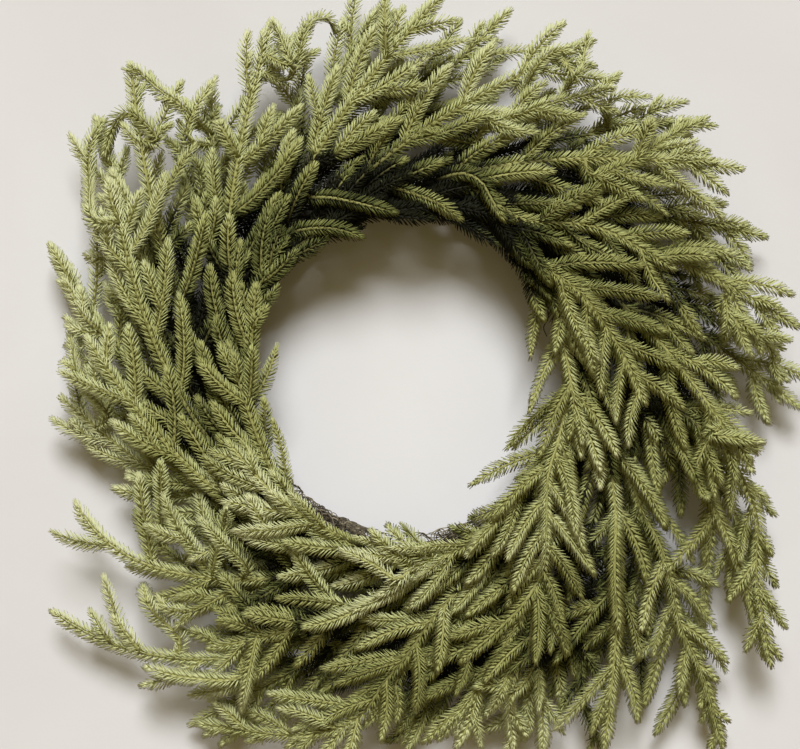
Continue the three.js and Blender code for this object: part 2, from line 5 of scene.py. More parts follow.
import bpy
import numpy as np
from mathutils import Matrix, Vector

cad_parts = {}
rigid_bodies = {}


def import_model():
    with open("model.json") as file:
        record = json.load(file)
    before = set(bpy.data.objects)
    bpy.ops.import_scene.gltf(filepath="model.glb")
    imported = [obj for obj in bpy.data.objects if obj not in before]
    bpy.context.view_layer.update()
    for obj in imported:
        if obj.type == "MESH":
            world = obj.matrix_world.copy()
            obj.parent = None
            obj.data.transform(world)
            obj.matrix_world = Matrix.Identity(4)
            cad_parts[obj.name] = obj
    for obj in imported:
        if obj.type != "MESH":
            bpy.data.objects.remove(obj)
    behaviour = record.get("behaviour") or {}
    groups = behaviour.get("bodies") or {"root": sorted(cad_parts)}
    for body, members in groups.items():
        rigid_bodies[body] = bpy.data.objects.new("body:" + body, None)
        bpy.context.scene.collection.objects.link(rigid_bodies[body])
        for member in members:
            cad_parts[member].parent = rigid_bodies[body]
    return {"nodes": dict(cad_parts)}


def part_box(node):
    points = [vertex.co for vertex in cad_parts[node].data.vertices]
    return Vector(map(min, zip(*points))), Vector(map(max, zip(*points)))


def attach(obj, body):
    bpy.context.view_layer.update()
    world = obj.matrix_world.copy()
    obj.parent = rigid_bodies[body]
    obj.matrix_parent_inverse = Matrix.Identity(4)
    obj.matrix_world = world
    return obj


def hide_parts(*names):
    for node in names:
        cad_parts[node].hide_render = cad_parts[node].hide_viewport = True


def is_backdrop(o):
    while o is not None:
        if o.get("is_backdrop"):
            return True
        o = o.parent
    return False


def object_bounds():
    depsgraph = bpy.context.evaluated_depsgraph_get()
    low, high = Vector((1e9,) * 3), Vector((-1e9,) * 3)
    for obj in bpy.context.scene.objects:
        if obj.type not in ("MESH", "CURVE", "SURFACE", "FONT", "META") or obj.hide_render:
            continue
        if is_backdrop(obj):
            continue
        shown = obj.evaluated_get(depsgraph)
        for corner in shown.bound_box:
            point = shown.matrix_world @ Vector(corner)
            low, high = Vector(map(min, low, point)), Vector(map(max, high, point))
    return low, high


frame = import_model()
cad_low, cad_high = (np.array(corner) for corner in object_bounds())

MM = 0.001
UP = np.array([0.0, 0.0, 1.0])

# The ring and its sprays, in millimetres from the ring's centre, as the solids have them.
RING_RADIUS = 158.0
STRAND_RADIUS = 8.0
LAY_RADIUS = 10.1
STRANDS = 3
TWISTS = 5
STEPS_PER_TWIST = 9
STRAND_SIDES = 6
STEM_RADIUS = 2.4
STEM_TIP_RADIUS = 1.3
SHOOT_RADIUS = 1.5
SHOOT_TIP_RADIUS = 1.0
SEAT_GAP = 0.35
TAIL = 12.0
MAIN_STEPS = 24
SHOOT_STEPS = 10
SHOOT_COUNT = {"outer": 5, "middle": 4, "inner": 4}
SPACING = 11.0
CLOSEST = 7.5
FLOOR = 11.0
ROUNDS = 260
WIDE_ROUNDS = 110

TIES = STRANDS * TWISTS
SIDE_HEIGHT = STRAND_RADIUS * math.cos(math.pi / STRAND_SIDES)
RING_HEIGHT = LAY_RADIUS * math.cos(math.pi / STEPS_PER_TWIST) + SIDE_HEIGHT
LAY_SLOPE = LAY_RADIUS * TWISTS / RING_RADIUS
SEAT_DISTANCE = SIDE_HEIGHT + STEM_RADIUS / 2 + SEAT_GAP

# The seats round the top strand: lean from upright, how far the stem follows the strand, how
# much it rises, and how its shoots are swept.
SLOTS = {
    "outer": {"lean": 60.0, "reach": 0.42, "rise": 10.0, "sweep": 22.0},
    "middle": {"lean": 0.0, "reach": 0.4, "rise": 16.0, "sweep": 22.0},
    "inner": {"lean": -60.0, "reach": 0.16, "rise": 28.0, "sweep": 4.0},
}

# Where the outer and the middle spray of each tie end, and how near to the ring's centre its
# inner shoots come. A fourth number is the spray's own reach.
TIPS = [
    ((273, -314, 24), (169, -314, 45), 106),
    ((92, -316, 26), (28, -305, 55), 135),
    ((-7, -303, 28), (-101, -314, 45), 145),
    ((-187, -299, 20), (-306, -202, 30, 0.72), 145),
    ((-236, -118, 24, 0.8), (-284, -108, 45, 0.82), 140),
    ((-299, -17, 26), (-272, 34, 65), 125),
    ((-308, 112, 26), (-250, 165, 70), 121),
    ((-269, 224, 35), (-237, 267, 55), 137),
    ((-170, 254, 30), (-117, 305, 55), 144),
    ((-20, 327, 30), (28, 327, 60), 142),
    ((86, 318, 32), (155, 288, 60), 142),
    ((251, 224, 28), (281, 180, 65), 140),
    ((307, 125, 28), (330, 47, 60), 134),
    ((337, -22, 28), (290, -75, 70), 112),
    ((318, -176, 26), (307, -237, 40, 0.58), 105),
]

# The shoots that the scene adds: how far apart they keep, in how many rounds they are bent so,
# how high they may lie, how far past the solids they may reach, and how far they keep from the
# hole's edge.
EXTRA_CLEAR = 5.5
EXTRA_ROUNDS = 90
EXTRA_CEILING = 79.0
OVERHANG = 6.0
HOLE_CLEAR = 4.0

# How far the added shoots reach from the ring's centre, by direction in degrees.
OUTLINE = [
    (0, 325), (15, 318), (30, 318), (45, 310), (60, 312), (72, 280), (82, 312), (95, 315),
    (110, 308), (120, 270), (128, 246), (136, 295), (150, 308), (165, 300), (180, 292),
    (195, 275), (205, 245), (215, 262), (228, 290), (240, 325), (255, 328), (270, 330),
    (285, 330), (300, 340), (312, 370), (325, 360), (335, 290), (350, 300), (360, 325),
]

# How near to the ring's centre the added shoots come, by direction in degrees.
HOLE_EDGE = [
    (0, 120), (20, 118), (30, 122), (45, 130), (60, 136), (90, 138), (120, 136), (140, 132),
    (160, 126), (180, 122), (200, 127), (220, 138), (240, 150), (255, 150), (270, 150),
    (285, 150), (300, 130), (312, 106), (336, 102), (348, 116), (360, 120),
]

# Where no added shoot ends: first and last direction, and out to where. The first leaves the
# ring's vines bare, and the second is the dark top of the wreath's heart.
BARE_VINES = (-140, -94, 165)
HEART_TOP = (45, 125, 182)

# Places where the surface shows between the shoots: middle and radius. No added shoot crosses.
GAPS = [(232, -98, 15), (236, -116, 15), (239, -134, 15)]

# Twiglets fork off a share of the shoots that are long enough, and end outside the heart.
TWIGLET_SHARE = 0.6
TWIGLET_FROM = 50.0
TWIGLET_NEAREST = 215.0
TWIGLET_CLIMB = 0.25

# Fillers are low shoots through spots that no shoot comes near, each from a stem behind it.
FILLER_TRIES = 3200
FILLER_GAP = 6.8
FILLER_MARGIN = 42.0
FILLER_NEAREST = 184.0
FILLER_NEAREST_TOP = 150.0
FILLER_HEIGHTS = (14, 24)
FILLER_LEANS = (20, 50)
FILLER_BEHIND = (15, 80)
FILLER_ASIDE = 45.0
FILLER_END = 28.0

# Fronds and twiglets climb, no steeper than this, to lie clear over what they cross.
FROND_CLEAR = 7.0
CROSSING = 9.0
FROND_CLIMB = 0.8
FROND_SHOOT_CLIMB = 0.35
FROND_RADIUS = 2.0
FROND_STEPS = 14

# A frond's root: the first step of a stem that it may be at, how much X, Y and height count in
# finding the nearest stem, and how near to it the route's own points start.
ROOT_FROM = 3
ROOT_WEIGHTS = (1, 1, 0.4)
ROUTE_FROM = 12.0

# Fronds and single shoots that the photograph shows, each rooted on the nearest stem: how many
# side shoots it has, how long the longest is, and its route. Those under the rest stay low.
FRONDS = [
    (9, 74, [(125, -46, 60), (118, -83, 60), (117, -119, 58), (116, -150, 56), (113, -169, 50)]),
    (10, 78, [(109, 101, 60), (144, 75, 60), (169, 44, 60), (187, 13, 58), (200, -17, 52)]),
    (11, 74, [(34, 175, 60), (65, 158, 60), (98, 136, 60), (136, 134, 58), (169, 127, 56),
              (224, 96, 50)]),
    (8, 66, [(-30, -187, 60), (-54, -199, 60), (-91, -210, 58), (-126, -221, 52),
             (-170, -231, 40)]),
    (13, 62, [(43, -181, 60), (19, -206, 58), (3, -230, 52), (-21, -260, 46), (-39, -286, 40),
              (-60, -298, 36), (-107, -306, 32), (-179, -299, 26)]),
    (4, 55, [(116, -174, 56), (104, -221, 50), (102, -236, 48), (73, -258, 44), (69, -286, 36)]),
    (4, 42, [(105, -236, 46), (100, -260, 42), (87, -273, 36), (91, -317, 26)]),
    (3, 60, [(115, -168, 60), (91, -199, 56), (47, -238, 44)]),
    (6, 46, [(151, -189, 36), (151, -215, 34), (151, -276, 28), (166, -317, 22)], "under"),
    (10, 60, [(200, -119, 46), (217, -144, 42), (225, -171, 40), (236, -215, 36), (254, -254, 30),
              (272, -316, 22)]),
    (11, 60, [(215, -9, 52), (256, -46, 48), (272, -61, 46), (300, -116, 38), (300, -167, 32),
              (311, -242, 24)]),
    (5, 48, [(96, -224, 30), (58, -265, 28), (40, -289, 26), (1, -295, 24)], "under"),
    (6, 52, [(156, 173, 50), (191, 185, 50), (221, 206, 46), (255, 224, 40)]),
    (2, 30, [(96, 245, 50), (109, 267, 50), (122, 278, 46), (133, 282, 36)]),
    (5, 28, [(-171, 208, 56), (-191, 232, 56), (-215, 250, 50), (-235, 267, 42)]),
    (0, 0, [(-266, 136, 40), (-274, 178, 44), (-272, 204, 46), (-263, 222, 42)]),
    (0, 0, [(-211, 202, 50), (-228, 222, 54), (-243, 228, 54), (-255, 215, 44), (-261, 195, 34)]),
    (0, 0, [(-189, 206, 50), (-184, 228, 50), (-167, 256, 48)]),
    (0, 0, [(-149, 187, 50), (-163, 222, 48)]),
    (0, 0, [(-103, 255, 50), (-92, 279, 54), (-85, 304, 54), (-70, 311, 46), (-64, 303, 36)]),
    (0, 0, [(-99, 267, 46), (-114, 304, 44)]),
    (0, 0, [(-22, 283, 50), (-20, 327, 48)]),
    (0, 0, [(-296, 75, 40), (-307, 114, 38)]),
    (0, 0, [(144, 258, 46), (153, 292, 46)]),
    (0, 0, [(174, 241, 46), (204, 243, 46)]),
    (0, 0, [(-188, -144, 50), (-208, -101, 60)]),
    (0, 0, [(-164, -169, 50), (-153, -110, 62)]),
    (0, 0, [(-140, -160, 50), (-176, -120, 60)]),
    (0, 0, [(-96, -208, 54), (-136, -200, 52)]),
    (0, 0, [(-144, -256, 40), (-190, -256, 38), (-224, -248, 42)]),
    (0, 0, [(-129, -219, 56), (-136, -250, 52), (-143, -283, 40)]),
    (0, 0, [(169, -119, 60), (176, -165, 60), (180, -211, 48)]),
    (0, 0, [(153, -212, 26), (125, -272, 20)], "under"),
    (0, 0, [(180, -208, 24), (181, -259, 18)], "under"),
    (0, 0, [(200, -206, 24), (204, -279, 18)], "under"),
    (0, 0, [(-58, -280, 26), (-104, -271, 20)], "under"),
    (7, 46, [(60, 212, 52), (106, 230, 54), (146, 243, 50), (172, 248, 44)]),
    (4, 34, [(-258, -30, 44), (-280, 0, 42), (-292, 40, 38)]),
    (3, 30, [(-262, 30, 44), (-280, 56, 42), (-294, 84, 38)]),
    (4, 38, [(-140, -186, 46), (-184, -198, 44), (-212, -194, 46)]),
    (4, 40, [(268, 60, 44), (296, 40, 40), (318, 20, 34)]),
    (0, 0, [(224, -35, 60), (252, -99, 46)]),
    (0, 0, [(256, -46, 56), (296, -52, 48)]),
    (0, 0, [(-86, 157, 50), (-66, 155, 56), (-44, 150, 54), (-14, 142, 44)]),
    (0, 0, [(-20, 166, 54), (0, 160, 60), (24, 150, 56), (42, 138, 44)]),
    (0, 0, [(18, 176, 60), (46, 176, 64), (62, 168, 60), (70, 154, 52), (79, 138, 42)]),
    (0, 0, [(-118, 122, 40), (-90, 128, 46), (-62, 128, 44), (-42, 122, 36)]),
    (0, 0, [(-196, -224, 36), (-216, -202, 36), (-229, -178, 34)]),
    (0, 0, [(-234, -228, 30), (-252, -206, 30)]),
    (0, 0, [(-256, -220, 28), (-274, -203, 28)]),
    (0, 0, [(-140, -260, 36), (-166, -268, 34), (-185, -272, 32)]),
    (0, 0, [(24, -180, 58), (0, -158, 62), (-18, -142, 60), (-29, -130, 54)]),
    (0, 0, [(30, -172, 60), (12, -152, 64), (-6, -137, 62), (-16, -126, 56)]),
    (0, 0, [(36, -168, 60), (22, -154, 64), (8, -138, 62), (-3, -126, 56)]),
    (0, 0, [(92, -150, 58), (74, -138, 60), (56, -131, 58), (39, -127, 52)]),
    (0, 0, [(-10, -170, 56), (-30, -156, 58), (-54, -144, 52)]),
    (0, 0, [(104, -104, 56), (80, -108, 56), (54, -119, 50)]),
]

# Painted shade that darkens the needles: lying under the rest, their depth between other
# shoots, less so near the outline, and the shaded top of the heart, by direction and radius.
UNDER_SHADE = 0.26
DUSK = 0.58
DUSK_DEPTHS = (4, 30)
DUSK_INSIDE = (20, 95)
DUSK_AT_RIM = 0.2
GLOOM = 0.5
GLOOM_MIDDLE = 86.0
GLOOM_TURNS = (67.5, 22.5)
GLOOM_RADII = (188, 162)

# Painted light and shade: how much paler they are at each radius, all round, more so upward
# toward the light, and more so leftward.
PALE_RADII = (140, 180, 220, 260, 300)
PALE_EVEN = (0.04, 0.12, 0.02, 0.04, 0.2)
PALE_UPWARD = (-0.12, -0.28, -0.02, 0.14, 0.06)
PALE_LEFTWARD = (-0.1, -0.24, 0.02, 0.22, 0.28)

# Patches where the foliage is paler or darker than round them: place, reach and amount.
PATCHES = [
    (-160, -115, 50, 0.32), (-35, -162, 45, 0.22), (-265, -75, 45, 0.26), (-190, -48, 38, -0.14),
    (205, 60, 50, -0.13), (166, -160, 42, -0.06), (48, 186, 36, -0.22), (-38, 160, 38, -0.24),
    (-95, 130, 34, -0.04), (80, -200, 45, -0.06), (60, 222, 45, 0.18), (-56, 206, 40, 0.14),
    (172, -85, 50, 0.14), (90, -300, 45, 0.26), (-225, 232, 60, -0.2), (132, 35, 34, 0.16),
    (-104, -92, 36, 0.2), (180, 180, 45, -0.1), (210, -175, 40, 0.1),
]

# The needles. Each rank has its angle above the shoot's own plane and its pitch. A needle leans
# along its shoot by degrees and bends on by radians.
NEEDLE_LENGTH = 10.7
NEEDLE_WIDTH = 1.14
NEEDLE_RANKS = ((-28.0, 4.4), (0.0, 2.7), (28.0, 2.8), (60.0, 5.6))
NEEDLE_LEAN = 61.0
NEEDLE_BEND = 0.3
BEND_PART = 0.45
TOP_RANK = 60.0
TOP_RANK_LENGTH = 0.78
UNDERSIDE_SHADE = 0.26

# A needle's five points are its foot, two on its ridge and two at its narrow end. The ridge's
# height is a share of half the width.
RIDGE_PART = 0.3
RIDGE_HEIGHT = 0.8
END_WIDTH = 0.5
NEEDLE_FACES = ((0, 1, 2), (1, 3, 4), (1, 4, 2), (0, 4, 3), (0, 3, 1), (0, 2, 4))
# Tone added at the five points: the foot darker, as painted shade between the needles near the
# stem, and the end paler.
NEEDLE_POINT_SHADING = (-0.42, -0.06, -0.06, 0.1, 0.1)

# The bare start of shoots and of stems, the last stretch, where needles are short and lie close,
# the tuft at the tip, and the length of a piece of bark.
SHOOT_BARE = 2.5
STEM_BARE = 14.0
TIP_STRETCH = 16.0
TUFT = 7
TUFT_LEANS = (10, 30)
BARK_STEP = 10

# No needle goes below the first height, and over the second they are pressed down by a share.
LOWEST = 0.4
NEARLY_HIGHEST = 83.0
PRESSED = 0.6

# Tones before light and shade.
BARK_TONE = 0.44
NEEDLE_TONE = 0.5
TUFT_TONE = 0.6

# The vines of each strand wind about its middle and keep clear inside its surface. Its core has
# a share of their sway.
VINES_PER_STRAND = 6
VINE_RADIUS = 2.7
VINE_STEPS = 220
VINE_WINDS = 11
VINE_CLEAR = 0.4
CORE_SWAY = 0.2

# Where the vines show at the hole, in degrees, and how many thin twigs curl out of the ring
# there. They wander between two radii and two heights.
TANGLES = [((-136, -106), 120), ((-80, -62), 44), ((-52, -38), 34)]
TWIG_RADIUS = 0.75
TWIG_STEPS = 26
TWIG_STEP = 2.1
TWIG_STARTS = (140, 154)
TWIG_START_HEIGHTS = (14, 44)
TWIG_RADII = (137, 152)
TWIG_HEIGHTS = (1.6, 46)
TWIG_BENDS = (0.03, 0.36)
TWIG_KINK_CHANCE = 0.16

# Loose vines along the inner edge of the ring: first and last direction, radius, height.
LOOSE_VINES = [
    (-142, -88, 140, 20), (-136, -94, 137, 12), (-140, -92, 142, 28), (-84, -48, 138, 18),
    (-80, -40, 140, 26), (-60, -20, 140, 14), (-144, -98, 138, 24), (-138, -90, 144, 34),
    (-134, -92, 137, 18),
]
LOOSE_RADIUS = 1.5
LOOSE_STEPS = 60
TENDRIL = [(128, 80, 30), (121, 68, 28), (122, 54, 24), (118, 46, 22), (121, 38, 20)]
TENDRIL_STEPS = 16

# The photograph's frame: its middle, and how much of the wreath's plane a pixel covers. The
# camera looks down on a plane through the middle of the foliage.
PIXEL = 0.86
FRAME_WIDTH = 800
FRAME_MIDDLE = (-6.9, 4.7)
CAMERA_HEIGHT = 1900.0
VIEW_PLANE = 45.0
SENSOR_WIDTH = 36.0

# Soft light from a tall window above the photograph's top edge.
LIGHT_FROM = (0.0, 3.5, 4.1)
LIGHT_STRENGTH = 4.1
LIGHT_WIDTH = 25.0
LIGHT_COLOUR = (0.9, 0.95, 1.0)

# The room's own light: pale walls all round, and a dim warm ceiling, by how steep it is seen.
ROOM_STOPS = [(0.1, (0.62, 0.6, 0.57, 1.0)), (0.26, (0.225, 0.18, 0.075, 1.0))]

# The surface, in metres: half its width, and how far from its middle the painted falloff of
# light stops growing darker.
FLOOR_HALF = 40.0
FLOOR_FADE = 0.42


def source(seed):
    """A seeded source of even draws, the one that the solids use."""
    state = seed

    def draw(low, high):
        nonlocal state
        state = (state * 1664525 + 1013904223) & 0xFFFFFFFF
        return low + (high - low) * state / 4294967296.0

    for _ in range(3):
        draw(0, 1)
    return draw


def unit(vector):
    return vector / np.linalg.norm(vector)


def units(vectors):
    return vectors / np.linalg.norm(vectors, axis=-1, keepdims=True)


def wrapped(angle):
    return math.atan2(math.sin(angle), math.cos(angle))


def polar(angle, radius, height):
    return np.array([radius * math.cos(angle), radius * math.sin(angle), height])


def direction(points):
    """Each point's direction from the ring's centre, in degrees."""
    return np.degrees(np.arctan2(points[..., 1], points[..., 0]))


def away(points):
    """Each point's distance from the ring's axis."""
    return np.hypot(points[..., 0], points[..., 1])


def edge_at(edge, turned):
    """How far from the centre an edge runs in each direction."""
    return np.interp(turned % 360, *zip(*edge))


def ramped(value, start, full):
    """0 at start and 1 at full, eased at both."""
    share = np.clip((value - start) / (full - start), 0, 1)
    return share * share * (3 - 2 * share)


def tie_angle(tie):
    return -2 * math.pi * tie / TIES


def strand_centre(strand, travelled):
    twist = TWISTS * travelled - 2 * math.pi * strand / STRANDS
    radius = RING_RADIUS + LAY_RADIUS * math.sin(twist)
    return polar(-travelled, radius, RING_HEIGHT + LAY_RADIUS * math.cos(twist))


def seat(tie, slot):
    lean = math.radians(SLOTS[slot]["lean"])
    radius = RING_RADIUS + SEAT_DISTANCE * math.sin(lean)
    height = RING_HEIGHT + LAY_RADIUS + SEAT_DISTANCE * math.cos(lean)
    return polar(tie_angle(tie), radius, height)


def strand_way(tie):
    angle = tie_angle(tie)
    way = np.array([math.sin(angle), -math.cos(angle), 0.0])
    return unit(way + polar(angle, LAY_SLOPE, 0))


def ring_offset():
    """From the ring's centre to the frame's origin, read from where the first vine lies."""
    corners = []
    steps = STEPS_PER_TWIST * TWISTS
    for i in range(steps):
        travelled = 2 * math.pi * i / steps
        centre = strand_centre(0, travelled)
        for s in range(STRAND_SIDES):
            around = 2 * math.pi * s / STRAND_SIDES
            rise = STRAND_RADIUS * math.sin(around)
            corners.append(centre + polar(-travelled, STRAND_RADIUS * math.cos(around), rise))
    low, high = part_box("vine_1")
    here = (np.array(low) + np.array(high)) / 2 / MM
    return here - (np.min(corners, axis=0) + np.max(corners, axis=0)) / 2


OFFSET = ring_offset()


class Plan:
    """Where a spray starts, bends and ends."""

    def __init__(self, tie, slot, number):
        self.draw = source(1000 + 37 * tie + 7 * number)
        self.tie, self.slot, self.kind = tie, slot, SLOTS[slot]
        outer, middle, self.edge = TIPS[tie]
        given = {"outer": outer, "middle": middle}.get(slot)
        turn = tie_angle(tie) + math.radians(-66 + self.draw(-5, 5))
        radius = 156 + self.draw(-8, 8)
        drawn = polar(turn, radius, 56 + self.draw(-6, 6))
        self.foot = seat(tie, slot)
        self.tip = np.array(given[:3], float) if given else drawn
        reach = self.kind["reach"] + max(0.0, self.edge - 120) * 0.008
        if given:
            reach = given[3] if len(given) > 3 else self.kind["reach"]
        length = np.linalg.norm(self.foot - self.tip)
        self.knee = self.foot + strand_way(tie) * length * reach
        halfway = self.foot[2] + (self.tip[2] - self.foot[2]) * 0.5
        self.knee[2] = halfway + self.kind["rise"]
        self.hooked = reach > 0.5

    def bend(self, part):
        rest = 1 - part
        return self.foot * rest * rest + self.knee * 2 * rest * part + self.tip * part * part

    def bend_way(self, part):
        return unit((self.knee - self.foot) * (1 - part) + (self.tip - self.knee) * part)


def swept(start, way, spread, length, lean, lift, aim=None):
    """The path of a side shoot: it is swept round toward the run of the wreath, or to aim."""
    heading = math.atan2(way[1], way[0]) + math.radians(spread)
    slope = way[2]
    path = [start]
    most = math.radians(2.7)
    for step in range(SHOOT_STEPS):
        last = path[-1]
        wanted = math.atan2(last[1], last[0]) - math.pi / 2 + math.radians(lean)
        if aim is not None:
            wanted = aim
        turn = wrapped(wanted - heading) * 0.12
        heading += min(most, max(-most, turn))
        slope = slope * 0.91 + lift * (1 - 2 * step / SHOOT_STEPS) * 0.21
        onward = unit(np.array([math.cos(heading), math.sin(heading), slope]))
        path.append(last + onward * length / SHOOT_STEPS)
    return path


def shoot_form(plan, part, side, draw):
    """How a side shoot spreads, how long it is and where it leans."""
    inward = side < 0
    spread = (44 if inward else 36) + draw(-6, 6)
    length = (96 if inward else 84) * (1 - 0.36 * part) * (1 + draw(-0.12, 0.12))
    if plan.slot == "inner" and inward:
        spread = 27 + (150 - plan.edge) * 0.5 + draw(-4, 4)
        length *= 0.5 + (150 - plan.edge) * 0.009
    lean = plan.kind["sweep"]
    if plan.hooked and inward:
        spread += 14
        lean = -25
    if plan.hooked and not inward:
        length *= 0.75
    return side * spread, length, lean, draw(-0.1, 0.25)


class Line:
    """A stem or a shoot as a path of points. A stem has no parent."""

    def __init__(self, path, plan, parent=-1, part=0.0):
        self.path = np.array(path)
        self.plan, self.parent, self.part = plan, parent, part
        self.frond = False
        self.shade = 0.0


def side_of(tie, number):
    """The side of its stem that a shoot is on. Sides take turns, and stems begin by turns too."""
    return 1 if (tie + number) % 2 == 1 else -1


def part_of(slot, number):
    """How far along its stem each of the solids' side shoots grows."""
    return 0.2 + 0.6 * number / (SHOOT_COUNT[slot] - 1)


def solid_lines():
    """The lines that the solids are built on, before they are bent clear."""
    lines = []
    for tie in range(TIES):
        for number, slot in enumerate(SLOTS):
            plan = Plan(tie, slot, number)
            stem = len(lines)
            lines.append(Line([plan.bend(i / MAIN_STEPS) for i in range(MAIN_STEPS + 1)], plan))
            for i in range(SHOOT_COUNT[slot]):
                part = part_of(slot, i) + plan.draw(-0.02, 0.02)
                form = shoot_form(plan, part, side_of(tie, i), plan.draw)
                path = swept(plan.bend(part), plan.bend_way(part), *form)
                lines.append(Line(path, plan, stem, part))
    return lines


class Crowd:
    """All points of all lines, and of the ring, with the pairs that lie near in plan view.

    The lines before the first free one are held, and so is the start of each stem.
    """

    def __init__(self, lines, first_free=0):
        self.lines, self.first_free = lines, first_free
        self.first = np.cumsum([0] + [len(line.path) for line in lines])
        members = []
        for index, line in enumerate(lines):
            part = np.linspace(0, 1, len(line.path))
            loose = np.clip((part - 0.04) / 0.2, 0, 1) if line.parent < 0 else part ** 0
            members.append((index, line.path, loose * (index >= first_free)))
        for strand in range(STRANDS):
            turn = 2 * math.pi * np.arange(4 * TIES) / (4 * TIES)
            ring = np.array([strand_centre(strand, travelled) for travelled in turn])
            members.append((-1 - strand, ring, 0 * turn))
        self.points = np.vstack([path for _, path, _ in members])
        self.line_of = np.concatenate([np.full(len(path), k) for k, path, _ in members])
        self.place = np.concatenate([np.arange(len(path)) for _, path, _ in members])
        self.free = np.concatenate([free for _, _, free in members])
        self.rest = self.points[:, 2].copy()

    def pair_up(self, spacing):
        """Find the pairs of points nearer than the spacing in plan view, of different lines."""
        flat = self.points[:, :2]
        ones, twos = [], []
        for i in range(len(flat) - 1):
            near = ((flat[i + 1:] - flat[i]) ** 2).sum(axis=1) < spacing * spacing
            found = np.flatnonzero(near) + i + 1
            ones.append(np.full(len(found), i))
            twos.append(found)
        i, j = np.concatenate(ones), np.concatenate(twos)
        a, b = self.line_of[i], self.line_of[j]
        ring = (a < 0) | (b < 0)
        keep = (a != b) & ((a >= 0) | (b >= 0)) & ((self.free[i] > 0) | (self.free[j] > 0))
        keep &= ring | ~self.at_junction(i, j)
        self.i, self.j = i[keep], j[keep]
        self.flat = ((flat[self.i] - flat[self.j]) ** 2).sum(axis=1)
        self.set_order()

    def at_junction(self, i, j):
        """Lines that grow from one another, or from one place, may be close there."""
        parents = np.array([line.parent for line in self.lines] + [-9] * STRANDS)
        parts = np.array([line.part for line in self.lines] + [-9.0] * STRANDS)
        a, b = self.line_of[i], self.line_of[j]
        near_a, near_b = self.place[i] <= 2, self.place[j] <= 2
        rooted = ((parents[a] == b) & near_a) | ((parents[b] == a) & near_b)
        sisters = (parents[a] >= 0) & (parents[a] == parents[b])
        close = np.abs(parts[a] - parts[b]) < 0.12
        return rooted | (sisters & close & (near_a | near_b))

    def set_order(self):
        """Each tie's lines pass above those of the ties ahead, like shingles."""
        ties = np.array([line.plan.tie for line in self.lines] + [0] * STRANDS)
        a, b = self.line_of[self.i], self.line_of[self.j]
        ring = (a < 0) | (b < 0)
        ahead = (ties[a] - ties[b] + TIES) % TIES
        ahead = np.where(ahead > TIES / 2, ahead - TIES, ahead)
        lead = np.where(ring, -1, ahead)
        height = self.points[self.i, 2] - self.points[self.j, 2]
        drop = np.where(lead == 0, height, -1000.0 * lead)
        _, group = np.unique(a * 10000 + b, return_inverse=True)
        total = np.bincount(group, weights=drop)
        self.side = np.where(total[group] >= 0, 1.0, -1.0)

    def pushes(self, spacing):
        """How far up or down each point has to move to keep the spacing, on average."""
        count = len(self.points)
        height = self.points[:, 2]
        near = self.flat < spacing * spacing
        i, j, side = self.i[near], self.j[near], self.side[near]
        gap = side * (height[i] - height[j])
        lack = np.sqrt(spacing * spacing - self.flat[near]) - gap
        short = lack > 0
        i, j = i[short], j[short]
        move = side[short] * lack[short]
        one, two = self.free[i], self.free[j]
        push = np.bincount(i, move * one / (one + two), count)
        push -= np.bincount(j, move * two / (one + two), count)
        number = np.bincount(i, minlength=count) + np.bincount(j, minlength=count)
        return 0.9 * push / np.maximum(1, number)

    def settle(self, rounds, spacing_at, low, high=math.inf):
        """Bend the lines up or down, a little each round, until they pass clear."""
        by_length = {}
        for index in range(self.first_free, len(self.lines)):
            by_length.setdefault(len(self.lines[index].path), []).append(index)
        rows = [self.first[which][:, None] + np.arange(n) for n, which in by_length.items()]
        roots = self.find_roots()
        for turn in range(rounds):
            self.ease(rows, self.pushes(spacing_at(turn)), low, high)
            self.keep_rooted(*roots)
        for index, line in enumerate(self.lines):
            line.path = self.points[self.first[index]:self.first[index + 1]].copy()

    def find_roots(self):
        """Each side shoot's first point, the stem's point before it, and how far past that."""
        free = range(self.first_free, len(self.lines))
        shoots = [k for k in free if self.lines[k].parent >= 0]
        stems = self.first[[self.lines[k].parent for k in shoots]]
        where = np.array([self.lines[k].part for k in shoots]) * MAIN_STEPS
        whole = np.floor(where).astype(int)
        return self.first[shoots], stems + whole, where - whole

    def ease(self, rows, push, low, high):
        """Move the lines by their pushes, smoothed along each, and back toward their rest."""
        height = self.points[:, 2]
        for row in rows:
            move = push[row]
            eased = move.copy()
            eased[:, 1:-1] = (move[:, :-2] + 2 * move[:, 1:-1] + move[:, 2:]) / 4
            off = height[row] - self.rest[row] + eased
            eased = off.copy()
            eased[:, 1:-1] = 0.8 * off[:, 1:-1] + 0.1 * (off[:, :-2] + off[:, 2:])
            height[row] = np.clip(self.rest[row] + eased, low, high)

    def keep_rooted(self, roots, under, share):
        """Bring each side shoot's root and its stem to the same height."""
        height = self.points[:, 2]
        on_stem = height[under] + (height[under + 1] - height[under]) * share
        miss = on_stem - height[roots]
        give = 0.4 * self.free[under]
        height[under] -= give * miss
        height[under + 1] -= give * miss
        fade = 1 - np.arange(SHOOT_STEPS + 1) / SHOOT_STEPS
        spans = roots[:, None] + np.arange(SHOOT_STEPS + 1)
        height[spans] += ((1 - give) * miss)[:, None] * fade


def bend_clear(lines):
    crowd = Crowd(lines)
    crowd.pair_up(SPACING)
    crowd.settle(ROUNDS, lambda turn: SPACING if turn < WIDE_ROUNDS else CLOSEST, FLOOR)


def ends_in(tip, sector):
    """Whether a tip lies between two directions and nearer to the centre than a radius."""
    first, last, radius = sector
    return first < direction(tip) < last and away(tip) < radius


def past_edge(points):
    """How far each point lies inside the hole's edge."""
    return edge_at(HOLE_EDGE, direction(points)) - away(points)


def crosses_gap(path):
    return any(np.hypot(path[:, 0] - x, path[:, 1] - y).min() < reach for x, y, reach in GAPS)


